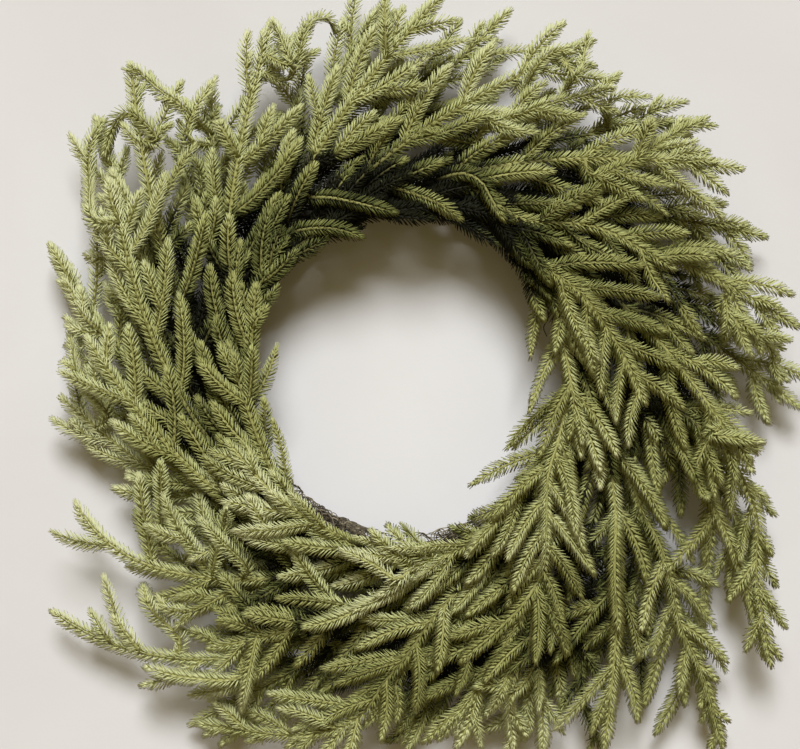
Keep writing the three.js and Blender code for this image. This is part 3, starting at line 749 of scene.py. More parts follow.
def within(path, length):
    """A shoot's path, shortened where its tip would reach past the outline or the solids."""
    path = np.array(path)
    placed = (path + OFFSET) * MM
    past = np.maximum(cad_low - placed, placed - cad_high)[:, :2].max(axis=1) / MM - OVERHANG
    past = np.maximum(past, away(path) - edge_at(OUTLINE, direction(path)))
    if past[-1] <= 0:
        return path
    share = max(0.4, 1 - past[-1] / length)
    return path[0] + (path - path[0]) * share


def extra_shoot(stem, part, side, draw):
    """The path and length of one more shoot on a stem. Those near its tip are short."""
    place = part * MAIN_STEPS
    whole = int(place)
    ahead = stem.path[min(whole + 2, MAIN_STEPS)] - stem.path[max(whole - 1, 0)]
    start = stem.path[whole] + (stem.path[whole + 1] - stem.path[whole]) * (place - whole)
    spread, length, lean, lift = shoot_form(stem.plan, part, side, draw)
    spread += draw(-10, 10)
    lift += draw(-0.15, 0.15)
    if part > 0.85:
        length *= 0.58
        spread *= 0.62
    if stem.plan.slot == "inner" and side < 0:
        length *= 0.72
    lean += draw(-35, 35)
    return swept(start, unit(ahead), spread, length, lean, lift), length


def add_extra_shoots(lines):
    """More shoots on every stem: opposite the solids' own, and two near its tip."""
    stems = [(k, line) for k, line in enumerate(lines) if line.parent < 0]
    first_new = len(lines)
    for number, (k, stem) in enumerate(stems):
        draw = source(9000 + 13 * number)
        tie, slot = stem.plan.tie, stem.plan.slot
        spots = [(part_of(slot, i) + 0.03, side_of(tie, i + 1)) for i in range(SHOOT_COUNT[slot])]
        for part, side in spots + [(0.88, side_of(tie, 0)), (0.9, side_of(tie, 1))]:
            part += draw(-0.02, 0.02)
            if stem.plan.hooked and part > 0.5:
                continue
            path, length = extra_shoot(stem, part, side, draw)
            tip = path[-1]
            kept_free = ends_in(tip, BARE_VINES) or ends_in(tip, HEART_TOP)
            if not kept_free and past_edge(tip) <= -HOLE_CLEAR:
                lines.append(Line(within(path, length), stem.plan, k, part))
    crowd = Crowd(lines, first_new)
    crowd.pair_up(EXTRA_CLEAR + 1.5)
    crowd.settle(EXTRA_ROUNDS, lambda turn: EXTRA_CLEAR, FLOOR, EXTRA_CEILING)


def forked(course, part, length, spread, aside, lift):
    """The path of a shoot that forks off a course and then runs on beside it."""
    start, way = course.at(part * course.length), course.way(part * course.length)
    aim = math.atan2(way[1], way[0]) + math.radians(aside)
    return within(swept(start, way, spread, length, 0, lift, aim), length)


def laid_over(path, points, steepest):
    """The path, lifted where other shoots run under it, and eased along its length."""
    path = np.array(path)
    apart = np.linalg.norm(path[:, None, :2] - points[None, :, :2], axis=2)
    tops = np.where(apart < CROSSING, points[None, :, 2], 0).max(axis=1) + FROND_CLEAR
    run = np.linalg.norm(path[:, :2] - path[0, :2], axis=1)
    wanted = np.maximum(path[:, 2], np.minimum(tops, path[0, 2] + steepest * run))
    for _ in range(4):
        wanted[1:-1] = (wanted[:-2] + 2 * wanted[1:-1] + wanted[2:]) / 4
    path[:, 2] = np.minimum(wanted, EXTRA_CEILING)
    return path


def add_twiglets(lines):
    """Short shoots that fork off the longer side shoots."""
    draw = source(4242)
    side = 1
    for line in list(lines):
        chance, part = draw(0, 1), draw(0.25, 0.5)
        if line.parent < 0 or chance > TWIGLET_SHARE:
            continue
        side = -side
        course = Course(line.path)
        if course.length < TWIGLET_FROM:
            continue
        length = course.length * draw(0.42, 0.56)
        aside = side * draw(-10, 30)
        spread = side * (42 + draw(-8, 8))
        path = forked(course, part, length, spread, aside, draw(-0.1, 0.2))
        if ends_in(path[-1], BARE_VINES) or away(path[-1]) < TWIGLET_NEAREST:
            continue
        points = np.vstack([other.path for other in lines])
        path = laid_over(path, points, TWIGLET_CLIMB)
        lines.append(Line(path, line.plan, line.parent))


def root_of_frond(lines, spot):
    """The stem that passes nearest to a spot, by its number, and its point there."""
    stems = [k for k, line in enumerate(lines) if line.parent < 0]
    far = [np.linalg.norm((lines[k].path - spot) * ROOT_WEIGHTS, axis=1)[ROOT_FROM:]
           for k in stems]
    nearest = int(np.argmin([apart.min() for apart in far]))
    place = ROOT_FROM + int(np.argmin(far[nearest]))
    return stems[nearest], lines[stems[nearest]].path[place]


def frond_shoots(course, count, longest, draw):
    """The paths of a frond's side shoots, left and right of it by turns."""
    for i in range(count):
        part = 0.1 + 0.84 * i / max(1, count - 1)
        side = 1 if i % 2 == 0 else -1
        length = longest * (1 - 0.45 * part) * (1 + draw(-0.12, 0.12))
        spread = side * (46 + draw(-6, 6))
        aside = side * draw(0, 30)
        yield forked(course, part, length, spread, aside, draw(-0.15, 0.1))


def add_fronds(lines):
    """The fronds that the photograph shows, each from the stem nearest to it."""
    draw = source(77)
    for count, longest, route, *mark in FRONDS:
        points = np.vstack([line.path for line in lines])
        parent, start = root_of_frond(lines, route[0])
        far = [point for point in route if math.dist(point[:2], start[:2]) > ROUTE_FROM]
        course = Course(np.vstack([start] + far))
        path = course.at(np.linspace(0, course.length, FROND_STEPS + 1))
        if not mark:
            path = laid_over(path, points, FROND_CLIMB)
        paths = [path]
        for path in frond_shoots(Course(path), count, longest, draw):
            paths.append(path if mark else laid_over(path, points, FROND_SHOOT_CLIMB))
        made = [Line(path, lines[parent].plan, parent) for path in paths]
        made[0].frond = True
        for line in made:
            line.shade = UNDER_SHADE if mark else 0.0
        lines += made


def root_of_filler(stems, spot, way):
    """The stem that runs best behind a filler's spot, by its number, and the step on it."""
    nearest, best = FILLER_ASIDE, None
    for k, stem in stems:
        off = spot - stem.path[2:]
        behind = off @ way
        well = (behind > FILLER_BEHIND[0]) & (behind < FILLER_BEHIND[1])
        aside = np.abs(off @ np.cross(UP, way)) + np.where(well, 0, 1000)
        place = int(np.argmin(aside))
        if aside[place] < nearest:
            nearest, best = aside[place], (k, place + 2)
    return best


def add_fillers(lines):
    """Low shoots where the floor would show between the others."""
    draw = source(555)
    points = np.vstack([line.path for line in lines])
    stems = [(k, line) for k, line in enumerate(lines) if line.parent < 0]
    for _ in range(FILLER_TRIES):
        turned = draw(0, 360)
        at_top = HEART_TOP[0] < turned < HEART_TOP[1]
        nearest = FILLER_NEAREST_TOP if at_top else FILLER_NEAREST
        reach = edge_at(OUTLINE, turned) - FILLER_MARGIN - nearest
        turn = math.radians(turned)
        spot = polar(turn, nearest + reach * draw(0, 1), draw(*FILLER_HEIGHTS))
        way = polar(turn - math.pi / 2 + math.radians(draw(*FILLER_LEANS)), 1, 0)
        if np.linalg.norm(points[:, :2] - spot[:2], axis=1).min() < FILLER_GAP:
            continue
        root = root_of_filler(stems, spot, way)
        if root is None:
            continue
        parent, place = root
        route = [lines[parent].path[place], spot, spot + way * FILLER_END]
        course = Course(np.array(route))
        path = course.at(np.linspace(0, course.length, SHOOT_STEPS + 1))
        path[:, 2] = np.maximum(path[:, 2], FLOOR)
        points = np.vstack([points, path])
        lines.append(Line(path, lines[parent].plan, parent))


def all_lines():
    """Every stem and shoot: first the solids' own, then those that the scene adds."""
    lines = solid_lines()
    own = len(lines)
    bend_clear(lines)
    add_extra_shoots(lines)
    add_twiglets(lines)
    add_fronds(lines)
    add_fillers(lines)
    return lines[:own] + [line for line in lines[own:] if not crosses_gap(line.path)]


class Heights:
    """How high the topmost line lies round each place."""

    CELL = 8.0
    CELLS = 100

    def __init__(self, lines):
        self.top = np.zeros((self.CELLS, self.CELLS))
        points = np.vstack([line.path for line in lines])
        i, j = self.cells(points)
        for di in (-1, 0, 1):
            for dj in (-1, 0, 1):
                np.maximum.at(self.top, (i + di, j + dj), points[:, 2])

    def cells(self, points):
        cells = (points[:, :2] / self.CELL + self.CELLS / 2).astype(int)
        return tuple(np.clip(cells, 1, self.CELLS - 2).T)

    def dusk(self, points):
        """Painted shade: how much darker each point is for the shoots above and all round it."""
        depth = np.maximum(0, self.top[self.cells(points)] - points[:, 2])
        inside = edge_at(OUTLINE, direction(points)) - away(points)
        share = DUSK_AT_RIM + (1 - DUSK_AT_RIM) * ramped(inside, *DUSK_INSIDE)
        return DUSK * ramped(depth, *DUSK_DEPTHS) * share


def heart_top_shade(points):
    """Painted shade on the needles at the top of the wreath's heart: how much darker they are."""
    beside = ramped(np.abs(direction(points) - GLOOM_MIDDLE), *GLOOM_TURNS)
    return GLOOM * beside * ramped(away(points), *GLOOM_RADII)


def painted_light_and_shade(points):
    """Painted light and shade: how much paler or darker the needles are by where they lie."""
    radius = away(points)
    pale = np.interp(radius, PALE_RADII, PALE_EVEN)
    pale += points[:, 1] / radius * np.interp(radius, PALE_RADII, PALE_UPWARD)
    leftward = np.maximum(0, -points[:, 0]) / radius
    pale += leftward * np.interp(radius, PALE_RADII, PALE_LEFTWARD)
    for x, y, reach, amount in PATCHES:
        apart = np.hypot(points[:, 0] - x, points[:, 1] - y)
        pale += amount * ramped(apart, 1.5 * reach, 0.5 * reach)
    return pale


def across(way, up=UP):
    """Left and over at each step of a line, from its direction there."""
    left = units(np.cross(up, way))
    return left, np.cross(way, left)


class Course:
    """A smooth curve through a path, measured along its length."""

    def __init__(self, path, pieces=6):
        ends = np.vstack([2 * path[0] - path[1], path, 2 * path[-1] - path[-2]])
        t = (np.arange(pieces) / pieces)[:, None]
        made = []
        for a, b, c, d in zip(ends[:-3], ends[1:-2], ends[2:-1], ends[3:]):
            square = 2 * a - 5 * b + 4 * c - d
            cube = 3 * (b - c) + d - a
            made.append(b + 0.5 * t * (c - a + t * (square + t * cube)))
        made.append(path[-1:])
        self.points = np.vstack(made)
        steps = np.linalg.norm(np.diff(self.points, axis=0), axis=1)
        self.marks = np.concatenate([[0], np.cumsum(steps)])
        self.length = self.marks[-1]

    def at(self, distance):
        places = [np.interp(distance, self.marks, self.points[:, k]) for k in range(3)]
        return np.stack(places, axis=-1)

    def way(self, distance, reach=3.0):
        low = np.clip(distance - reach, 0, self.length - 1)
        high = np.clip(distance + reach, 1, self.length)
        return units(self.at(high) - self.at(low))

    def frame_at(self, distance, roll=0.0):
        """Direction, left and over at each distance. roll turns the last two, in radians."""
        way = self.way(distance)
        left, over = across(way)
        c, s = math.cos(roll), math.sin(roll)
        return way, left * c + over * s, over * c - left * s


def wall_faces(count, sides, closed):
    """The triangles between each ring of a tube's points and the next."""
    k = np.arange(count if closed else count - 1)[:, None] * sides
    after = (k + sides) % (count * sides)
    s = np.arange(sides)[None]
    n = (s + 1) % sides
    one = np.stack([k + s, k + n, after + n], axis=-1).reshape(-1, 3)
    two = np.stack([k + s, after + n, after + s], axis=-1).reshape(-1, 3)
    return np.vstack([one, two])


def end_faces(count, sides):
    """The flat start of a tube, and its end round the one point that follows its rings."""
    fan = np.arange(1, sides - 1)
    start = np.stack([np.zeros_like(fan), fan + 1, fan], axis=-1)
    s = np.arange(sides)
    last = (count - 1) * sides
    tip = np.full(sides, count * sides)
    return np.vstack([start, np.stack([last + s, last + (s + 1) % sides, tip], axis=-1)])


class Soup:
    """Closed bodies gathered into one mesh, with a tone for each point."""

    def __init__(self):
        self.points, self.faces, self.tones, self.kinds = [], [], [], []
        self.count = 0

    def add(self, points, faces, tones, kind):
        self.points.append(points)
        self.faces.append(faces + self.count)
        self.tones.append(tones)
        self.kinds.append(np.full(len(faces), kind))
        self.count += len(points)

    def tube(self, centres, lefts, overs, radii, sides, tone, kind=0, closed=False):
        """A tube round a line of centres. An open line gets a flat start and a pointed end."""
        count = len(centres)
        around = 2 * np.pi * np.arange(sides) / sides
        ring = np.cos(around)[None, :, None] * lefts[:, None]
        ring = ring + np.sin(around)[None, :, None] * overs[:, None]
        points = (centres[:, None] + ring * radii[:, None, None]).reshape(-1, 3)
        faces = wall_faces(count, sides, closed)
        tones = np.repeat(np.broadcast_to(tone, count), sides)
        if not closed:
            tip = centres[-1] + unit(centres[-1] - centres[-2]) * radii[-1] * 1.5
            points = np.vstack([points, tip])
            faces = np.vstack([faces, end_faces(count, sides)])
            tones = np.append(tones, tones[-1])
        self.add(points, faces, tones, kind)

    def needles(self, foot, way, out, over, length, width, lean, tone):
        """Flat pointed needles: each leaves its stem along out, leans along way and bends on."""
        def leaning(angle):
            return out * np.sin(angle)[:, None] + way * np.cos(angle)[:, None]

        length, half = length[:, None], (width / 2)[:, None]
        axis = leaning(lean)
        middle = foot + axis * (length * BEND_PART)
        tip = middle + leaning(lean - NEEDLE_BEND) * (length * (1 - BEND_PART))
        aside = units(np.cross(axis, over))
        above = np.cross(aside, axis)
        ridge = foot + axis * (length * RIDGE_PART) + above * half * RIDGE_HEIGHT
        side, end = aside * half, aside * half * END_WIDTH
        points = np.stack([foot, ridge + side, ridge - side, tip + end, tip - end], axis=1)
        points = points.reshape(-1, 3)
        over_top = np.maximum(0, points[:, 2] - NEARLY_HIGHEST)
        points[:, 2] = np.maximum(LOWEST, points[:, 2] - PRESSED * over_top)
        faces = np.arange(len(foot))[:, None, None] * len(NEEDLE_POINT_SHADING) + NEEDLE_FACES
        self.add(points, faces.reshape(-1, 3), (tone[:, None] + NEEDLE_POINT_SHADING).ravel(), 0)

    def mesh(self, name, materials):
        mesh = bpy.data.meshes.new(name)
        points = (np.vstack(self.points) + OFFSET) * MM
        mesh.from_pydata(points, [], np.vstack(self.faces), shade_flat=False)
        mesh.polygons.foreach_set("material_index", np.concatenate(self.kinds).astype(np.int32))
        tone = mesh.attributes.new("tone", "FLOAT", "POINT")
        tone.data.foreach_set("value", np.concatenate(self.tones).astype(np.float32))
        mesh.validate()
        for material in materials:
            mesh.materials.append(material)
        return in_scene(name, mesh)


def in_scene(name, data):
    """A new object of the scene."""
    made = bpy.data.objects.new(name, data)
    bpy.context.scene.collection.objects.link(made)
    return made


class Shoot:
    """A stem or a shoot while it grows its bark, its needles and the tuft at its tip."""

    def __init__(self, line, heights, rng):
        self.line, self.heights, self.rng = line, heights, rng
        self.is_stem = line.parent < 0
        self.course = Course(line.path)
        self.length = self.course.length
        roll = 0.35 if self.is_stem else 0.75
        self.roll = rng.uniform(-roll, roll)
        self.shade = rng.uniform(-0.1, 0.1) - line.shade

    def light(self, points):
        """The shoot's own tone less painted shade, for what lies over and beside each point."""
        dark = self.shade - self.heights.dusk(points)
        return dark if self.line.frond else dark - heart_top_shade(points)

    def add_bark(self, soup):
        """A tapered tube. A stem's starts before its seat, where it lies along the strand."""
        big, small = SHOOT_RADIUS, SHOOT_TIP_RADIUS
        if self.is_stem:
            big, small = STEM_RADIUS, STEM_TIP_RADIUS
        if self.line.frond:
            big = FROND_RADIUS
        steps = max(5, int(self.length / BARK_STEP))
        distance = np.linspace(0, self.length, steps + 1)
        _, left, over = self.course.frame_at(distance, self.roll)
        radii = big + (small - big) * distance / self.length
        radii[-1] *= 0.6
        centres = self.course.at(distance)
        if self.is_stem:
            back = centres[0] - strand_way(self.line.plan.tie) * TAIL
            centres = np.vstack([back, centres])
            left, over = np.vstack([left[:1], left]), np.vstack([over[:1], over])
            radii = np.append(STEM_RADIUS, radii)
        soup.tube(centres, left, over, radii, 5, BARK_TONE + self.light(centres), 1)

    def needle_rows(self):
        """Where the needles grow: the distance, the rank's angle and the side of each."""
        begin = STEM_BARE if self.is_stem else SHOOT_BARE
        spots, ranks, sides = [], [], []
        thin = self.rng.uniform(0.95, 1.25)
        for side in (-1, 1):
            for n, (rank, pitch) in enumerate(NEEDLE_RANKS):
                pitch *= thin
                offset = pitch * (n * 0.5 % 1 + (0.25 if side > 0 else 0))
                row = np.arange(begin + offset, self.length - 1.0, pitch)
                spots.append(row + self.rng.uniform(-0.35, 0.35, len(row)))
                ranks.append(np.full(len(row), rank))
                sides.append(np.full(len(row), side))
        spots = np.clip(np.concatenate(spots), begin, self.length)
        return spots, np.concatenate(ranks), np.concatenate(sides)

    def add_needles(self, soup):
        """Ranks of needles on both sides, shorter near the tip and inside the hole's edge."""
        rng = self.rng
        spots, ranks, sides = self.needle_rows()
        number = len(spots)
        way, left, over = self.course.frame_at(spots, self.roll)
        rise = np.radians(ranks + rng.uniform(-9, 9, number))
        out = left * (sides * np.cos(rise))[:, None] + over * np.sin(rise)[:, None]
        to_end = self.length - spots
        short = ramped(to_end, 0, TIP_STRETCH)
        lean = NEEDLE_LEAN - 8 * spots / self.length + rng.uniform(-5, 5, number)
        lean = np.radians(lean) * (0.6 + 0.4 * short)
        size = NEEDLE_LENGTH * (0.78 + 0.22 * ramped(spots, 0, 15)) * (0.72 + 0.28 * short)
        size *= np.where(ranks == TOP_RANK, TOP_RANK_LENGTH, 1) * rng.uniform(0.92, 1.06, number)
        width = NEEDLE_WIDTH * rng.uniform(0.88, 1.1, number)
        foot = self.course.at(spots)
        if not self.line.frond:
            size *= 1 - 0.3 * ramped(past_edge(foot), -6, 10)
        # Random tone, painted shade and painted light by place; paler near the tip, and the lower
        # ranks darker as painted shade.
        tone = NEEDLE_TONE + rng.uniform(-0.07, 0.07, number) + self.light(foot) + painted_light_and_shade(foot)
        tone += 0.08 * ramped(to_end, 32, 0) - np.where(ranks < 0, UNDERSIDE_SHADE, 0)
        soup.needles(foot, way, out, over, size, width, lean, tone)

    def add_tuft(self, soup):
        rng = self.rng
        end = np.full(TUFT, self.length - 1.0)
        way, left, over = self.course.frame_at(end, self.roll)
        turn = 2 * np.pi * np.arange(TUFT) / TUFT
        out = left * np.cos(turn)[:, None] + over * np.sin(turn)[:, None]
        size = NEEDLE_LENGTH * rng.uniform(0.62, 0.8, TUFT)
        width = np.full(TUFT, NEEDLE_WIDTH * 0.9)
        lean = np.radians(rng.uniform(*TUFT_LEANS, TUFT))
        foot = self.course.at(end)
        tone = TUFT_TONE + rng.uniform(-0.06, 0.06, TUFT) + self.light(foot) + painted_light_and_shade(foot)
        soup.needles(foot, way, out, over, size, width, lean, tone)


def new_material(name, roughness):
    material = bpy.data.materials.new(name)
    material.use_nodes = True
    shader = material.node_tree.nodes["Principled BSDF"]
    shader.inputs["Roughness"].default_value = roughness
    return material, material.node_tree, shader


def linear(red, green, blue):
    """A colour given in the 0 to 255 numbers of a screen, as light."""
    values = []
    for part in (red, green, blue):
        share = part / 255
        values.append(share / 12.92 if share < 0.04045 else ((share + 0.055) / 1.055) ** 2.4)
    return (*values, 1.0)


def new_node(tree, kind, **inputs):
    """A node with some of its inputs set. Their names have capitals and spaces there."""
    node = tree.nodes.new(kind)
    for name, value in inputs.items():
        node.inputs[name.replace("_", " ").title()].default_value = value
    return node


def join(tree, start, output, end, entry):
    tree.links.new(start.outputs[output], end.inputs[entry])


def ramp_node(tree, stops):
    node = tree.nodes.new("ShaderNodeValToRGB")
    elements = node.color_ramp.elements
    while len(elements) < len(stops):
        elements.new(0.5)
    for element, (place, colour) in zip(elements, stops):
        element.position = place
        element.color = colour
    return node


def noise_node(tree, **inputs):
    """Noise that lies still in the piece."""
    place = tree.nodes.new("ShaderNodeTexCoord")
    noise = new_node(tree, "ShaderNodeTexNoise", **inputs)
    join(tree, place, "Object", noise, "Vector")
    return noise


def scaled_sum(tree, first, factor, second):
    """The first output times the factor, plus the second."""
    node = tree.nodes.new("ShaderNodeMath")
    node.operation = "MULTIPLY_ADD"
    tree.links.new(first, node.inputs[0])
    node.inputs[1].default_value = factor
    tree.links.new(second, node.inputs[2])
    return node


def add_bump(tree, shader, noise, strength, distance):
    bump = new_node(tree, "ShaderNodeBump", strength=strength, distance=distance)
    join(tree, noise, "Fac", bump, "Height")
    join(tree, bump, "Normal", shader, "Normal")


def toned(name, roughness, stops, scale, amount, detail=4):
    """A material whose colour follows each point's tone, stirred by noise."""
    material, tree, shader = new_material(name, roughness)
    tone = tree.nodes.new("ShaderNodeAttribute")
    tone.attribute_name = "tone"
    noise = noise_node(tree, scale=scale, detail=detail)
    stirred = scaled_sum(tree, noise.outputs["Fac"], amount, tone.outputs["Fac"])
    centred = tree.nodes.new("ShaderNodeMath")
    centred.operation = "SUBTRACT"
    centred.inputs[1].default_value = amount / 2
    join(tree, stirred, 0, centred, 0)
    ramp = ramp_node(tree, stops)
    join(tree, centred, 0, ramp, "Fac")
    join(tree, ramp, "Color", shader, "Base Color")
    return material, tree, shader, noise


def needle_material():
    stops = [(0.0, linear(24, 24, 8)), (0.2, linear(102, 105, 54)), (0.5, linear(164, 163, 98)),
             (0.72, linear(188, 189, 128)), (1.0, linear(212, 211, 160))]
    material, _, shader, _ = toned("needles", 0.5, stops, 45, 0.3)
    shader.inputs["Specular IOR Level"].default_value = 0.14
    return material


def stem_material():
    stops = [(0.0, linear(24, 22, 9)), (0.25, linear(104, 100, 56)), (0.5, linear(160, 156, 94)),
             (0.85, linear(200, 194, 138))]
    material, tree, shader, noise = toned("green_stem", 0.6, stops, 120, 0.25)
    shader.inputs["Specular IOR Level"].default_value = 0.14
    add_bump(tree, shader, noise, 0.3, 0.0004)
    return material


def bark_material():
    stops = [(0.2, linear(46, 39, 28)), (0.5, linear(94, 83, 64)), (0.85, linear(154, 141, 114))]
    material, tree, shader, noise = toned("vine_bark", 0.85, stops, 260, 0.7, detail=8)
    add_bump(tree, shader, noise, 0.6, 0.0008)
    return material


def wire_material():
    material, tree, shader = new_material("green_lacquer", 0.4)
    noise = new_node(tree, "ShaderNodeTexNoise", scale=90)
    ramp = ramp_node(tree, [(0.3, linear(52, 62, 44)), (0.7, linear(82, 92, 70))])
    join(tree, noise, "Fac", ramp, "Fac")
    join(tree, ramp, "Color", shader, "Base Color")
    return material


def floor_material():
    """A pale surface with faint clouds and painted light falloff, palest in the middle of the
    wreath.
    """
    material, tree, shader = new_material("pale_surface", 0.85)
    clouds = noise_node(tree, scale=2.4, detail=6, distortion=0.6)
    place = tree.nodes.new("ShaderNodeTexCoord")
    far = tree.nodes.new("ShaderNodeVectorMath")
    far.operation = "LENGTH"
    join(tree, place, "Object", far, 0)
    # Painted light falloff: the surface grows darker away from its middle, out to FLOOR_FADE.
    paler = new_node(tree, "ShaderNodeMapRange", from_max=FLOOR_FADE, to_min=0.44, to_max=0.14)
    join(tree, far, "Value", paler, "Value")
    grade = scaled_sum(tree, clouds.outputs["Fac"], 0.6, paler.outputs["Result"])
    stops = [(0.2, linear(205, 199, 197)), (0.5, linear(215, 210, 208)),
             (0.8, linear(226, 222, 220))]
    ramp = ramp_node(tree, stops)
    join(tree, grade, 0, ramp, "Fac")
    join(tree, ramp, "Color", shader, "Base Color")
    add_bump(tree, shader, noise_node(tree, scale=14, detail=5), 0.25, 0.002)
    return material


def add_foliage(lines):
    needles, stems = needle_material(), stem_material()
    rng = np.random.default_rng(41)
    heights = Heights(lines)
    for line in lines:
        if line.parent >= 0:
            continue
        soup = Soup()
        for member in lines:
            if member.plan is line.plan:
                shoot = Shoot(member, heights, rng)
                shoot.add_bark(soup)
                shoot.add_needles(soup)
                shoot.add_tuft(soup)
        tie, slot = f"{line.plan.tie + 1:02d}", line.plan.slot
        made = soup.mesh(f"foliage_{tie}_{slot}", [needles, stems])
        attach(made, "root")
        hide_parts(f"spray_{tie}_{slot}")


def wave(turn, times, size, rng):
    """So many waves round the ring, which begin anywhere."""
    return size * np.sin(times * turn + rng.uniform(0, 6))


def add_vine(soup, middle, turn, vine, rng):
    """One of the thin rough vines that wind about a strand's middle. The first is its core."""
    around = 2 * np.pi * vine / VINES_PER_STRAND + (VINE_WINDS + vine % 3) * turn
    around = (around + wave(turn, 5, 0.4, rng))[:, None]
    sway = STRAND_RADIUS - VINE_RADIUS - VINE_CLEAR + wave(turn, 17, 0.5, rng)
    sway = sway[:, None] * (CORE_SWAY if vine == 0 else 1.0)
    out = np.stack([np.cos(-turn), np.sin(-turn), 0 * turn], axis=1)
    centres = middle + out * (sway * np.cos(around)) + UP * (sway * np.sin(around))
    way = units(np.roll(centres, -1, axis=0) - np.roll(centres, 1, axis=0))
    left, over = across(way)
    centres[:, 2] = np.maximum(centres[:, 2], 1.3 * VINE_RADIUS)
    radii = VINE_RADIUS * (1 + wave(turn, 23, 0.12, rng))
    radii *= 1 + wave(turn, 61, 0.08, rng)
    soup.tube(centres, left, over, radii, 6, 0.3 + rng.uniform(-0.2, 0.2), closed=True)


def add_vines(bark):
    rng = np.random.default_rng(7)
    turn = 2 * np.pi * np.arange(VINE_STEPS) / VINE_STEPS
    for strand in range(STRANDS):
        soup = Soup()
        middle = np.array([strand_centre(strand, t) for t in turn])
        for vine in range(VINES_PER_STRAND):
            add_vine(soup, middle, turn, vine, rng)
        made = soup.mesh(f"vines_{strand + 1}", [bark])
        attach(made, "root")
        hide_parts(f"vine_{strand + 1}")


def turned_back(heading, point):
    """The heading, turned back to where twigs wander, by how far the point lies outside it."""
    radius = math.hypot(point[0], point[1])
    near, far = (TWIG_RADII[0] - radius) / 6, (radius - TWIG_RADII[1]) / 8
    stray = min(1.0, max(0.0, near)) - min(1.0, max(0.0, far))
    homeward = math.atan2(point[1], point[0]) + (math.pi if stray < 0 else 0)
    return heading + 0.45 * abs(stray) * wrapped(homeward - heading)


def twig(start, rng):
    """The centres of a thin twig that starts on the ring and winds about near its inner edge."""
    along = math.atan2(start[1], start[0]) + math.pi / 2 * rng.choice((-1, 1))
    heading = along + rng.uniform(-1.0, 1.0)
    slope = rng.uniform(-0.2, 0.6)
    bend = rng.choice((-1, 1)) * rng.uniform(*TWIG_BENDS)
    points = [start]
    for _ in range(TWIG_STEPS):
        if rng.random() < TWIG_KINK_CHANCE:
            bend = -bend * rng.uniform(0.6, 1.3)
        heading = turned_back(heading + bend, points[-1])
        slope = 0.8 * slope + rng.uniform(-0.3, 0.3)
        step = np.array([math.cos(heading), math.sin(heading), slope]) * TWIG_STEP
        moved = points[-1] + step
        moved[2] = min(TWIG_HEIGHTS[1], max(TWIG_HEIGHTS[0], moved[2]))
        points.append(moved)
    return np.array(points)


def add_twigs(bark):
    soup = Soup()
    rng = np.random.default_rng(23)
    radii = TWIG_RADIUS * (1 - 0.45 * np.linspace(0, 1, TWIG_STEPS + 1))
    for (first, last), count in TANGLES:
        for _ in range(count):
            turn = math.radians(rng.uniform(first, last))
            start = polar(turn, rng.uniform(*TWIG_STARTS), rng.uniform(*TWIG_START_HEIGHTS))
            centres = twig(start, rng)
            left, over = across(units(np.gradient(centres, axis=0)), up=UP + 0.01)
            soup.tube(centres, left, over, radii, 3, 0.5 + rng.uniform(-0.3, 0.3))
    made = soup.mesh("twigs", [bark])
    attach(made, "root")


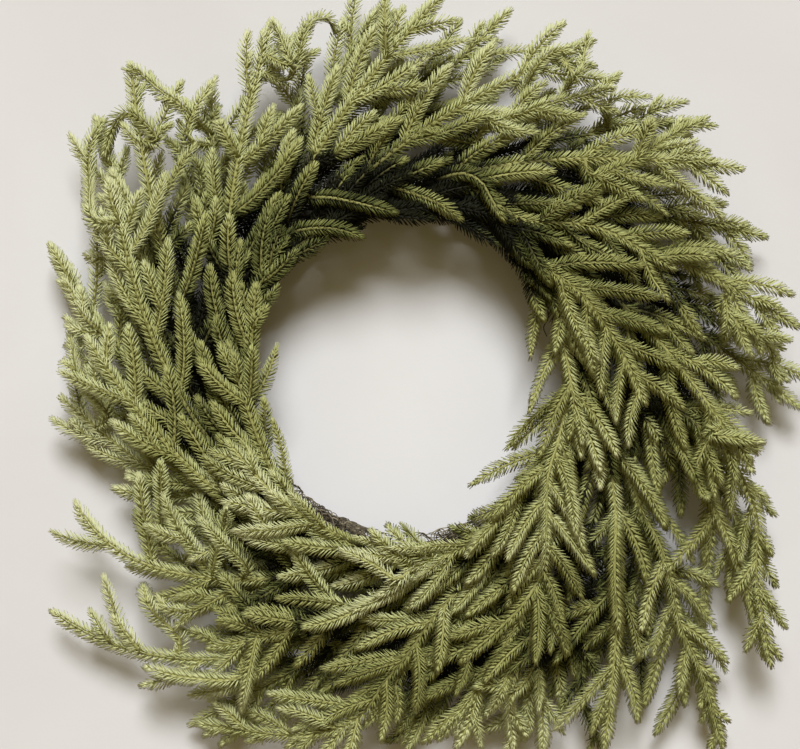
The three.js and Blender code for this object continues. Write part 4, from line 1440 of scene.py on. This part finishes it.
def add_loose_vines(bark):
    soup = Soup()
    rng = np.random.default_rng(5)
    for first, last, radius, height in LOOSE_VINES:
        turn = np.radians(np.linspace(first, last, LOOSE_STEPS))
        start = rng.uniform(0, 6)
        flare = np.abs(np.linspace(-1, 1, LOOSE_STEPS)) ** 3
        out = radius + 2.2 * np.sin(9 * turn + start) + 18 * flare
        rise = height + 4 * np.sin(7 * turn + 2 * start)
        centres = np.stack([out * np.cos(turn), out * np.sin(turn), rise], axis=1)
        left, over = across(units(np.gradient(centres, axis=0)))
        radii = LOOSE_RADIUS * (1 + 0.15 * np.sin(31 * turn + start))
        soup.tube(centres, left, over, radii, 6, 0.5 + rng.uniform(-0.2, 0.2))
    hang = Course(np.array(TENDRIL))
    distance = np.linspace(0, hang.length, TENDRIL_STEPS)
    _, left, over = hang.frame_at(distance)
    soup.tube(hang.at(distance), left, over, np.linspace(0.9, 0.4, TENDRIL_STEPS), 4, 0.3)
    made = soup.mesh("loose_vines", [bark])
    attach(made, "root")


def coat_wire():
    wire = frame["nodes"]["binding_wire"]
    wire.data.materials.clear()
    wire.data.materials.append(wire_material())


def add_floor():
    mesh = bpy.data.meshes.new("floor")
    corners = [(-1, -1), (1, -1), (1, 1), (-1, 1)]
    mesh.from_pydata([(FLOOR_HALF * x, FLOOR_HALF * y, 0) for x, y in corners], [], [(0, 1, 2, 3)])
    mesh.materials.append(floor_material())
    floor = in_scene("floor", mesh)
    floor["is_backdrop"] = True


def add_camera():
    data = bpy.data.cameras.new("camera")
    camera = in_scene("camera", data)
    bpy.context.scene.camera = camera
    data.sensor_width = SENSOR_WIDTH
    data.lens = SENSOR_WIDTH * (CAMERA_HEIGHT - VIEW_PLANE) / (FRAME_WIDTH * PIXEL)
    camera.location = (np.array([*FRAME_MIDDLE, CAMERA_HEIGHT]) + OFFSET) * MM
    data.clip_end = 20


def add_light():
    data = bpy.data.lights.new("window", "SUN")
    data.energy = LIGHT_STRENGTH
    data.angle = math.radians(LIGHT_WIDTH)
    data.color = LIGHT_COLOUR
    light = in_scene("window", data)
    light.rotation_mode = "QUATERNION"
    light.rotation_quaternion = Vector(LIGHT_FROM).to_track_quat("Z", "Y")


def add_room():
    world = bpy.data.worlds.new("room")
    bpy.context.scene.world = world
    world.use_nodes = True
    tree = world.node_tree
    place = tree.nodes.new("ShaderNodeTexCoord")
    parts = tree.nodes.new("ShaderNodeSeparateXYZ")
    ramp = ramp_node(tree, ROOM_STOPS)
    join(tree, place, "Generated", parts, "Vector")
    join(tree, parts, "Z", ramp, "Fac")
    join(tree, ramp, "Color", tree.nodes["Background"], "Color")
    bpy.context.scene.view_settings.view_transform = "Standard"


add_foliage(all_lines())
bark = bark_material()
add_vines(bark)
add_twigs(bark)
add_loose_vines(bark)
coat_wire()
add_floor()
add_camera()
add_light()
add_room()
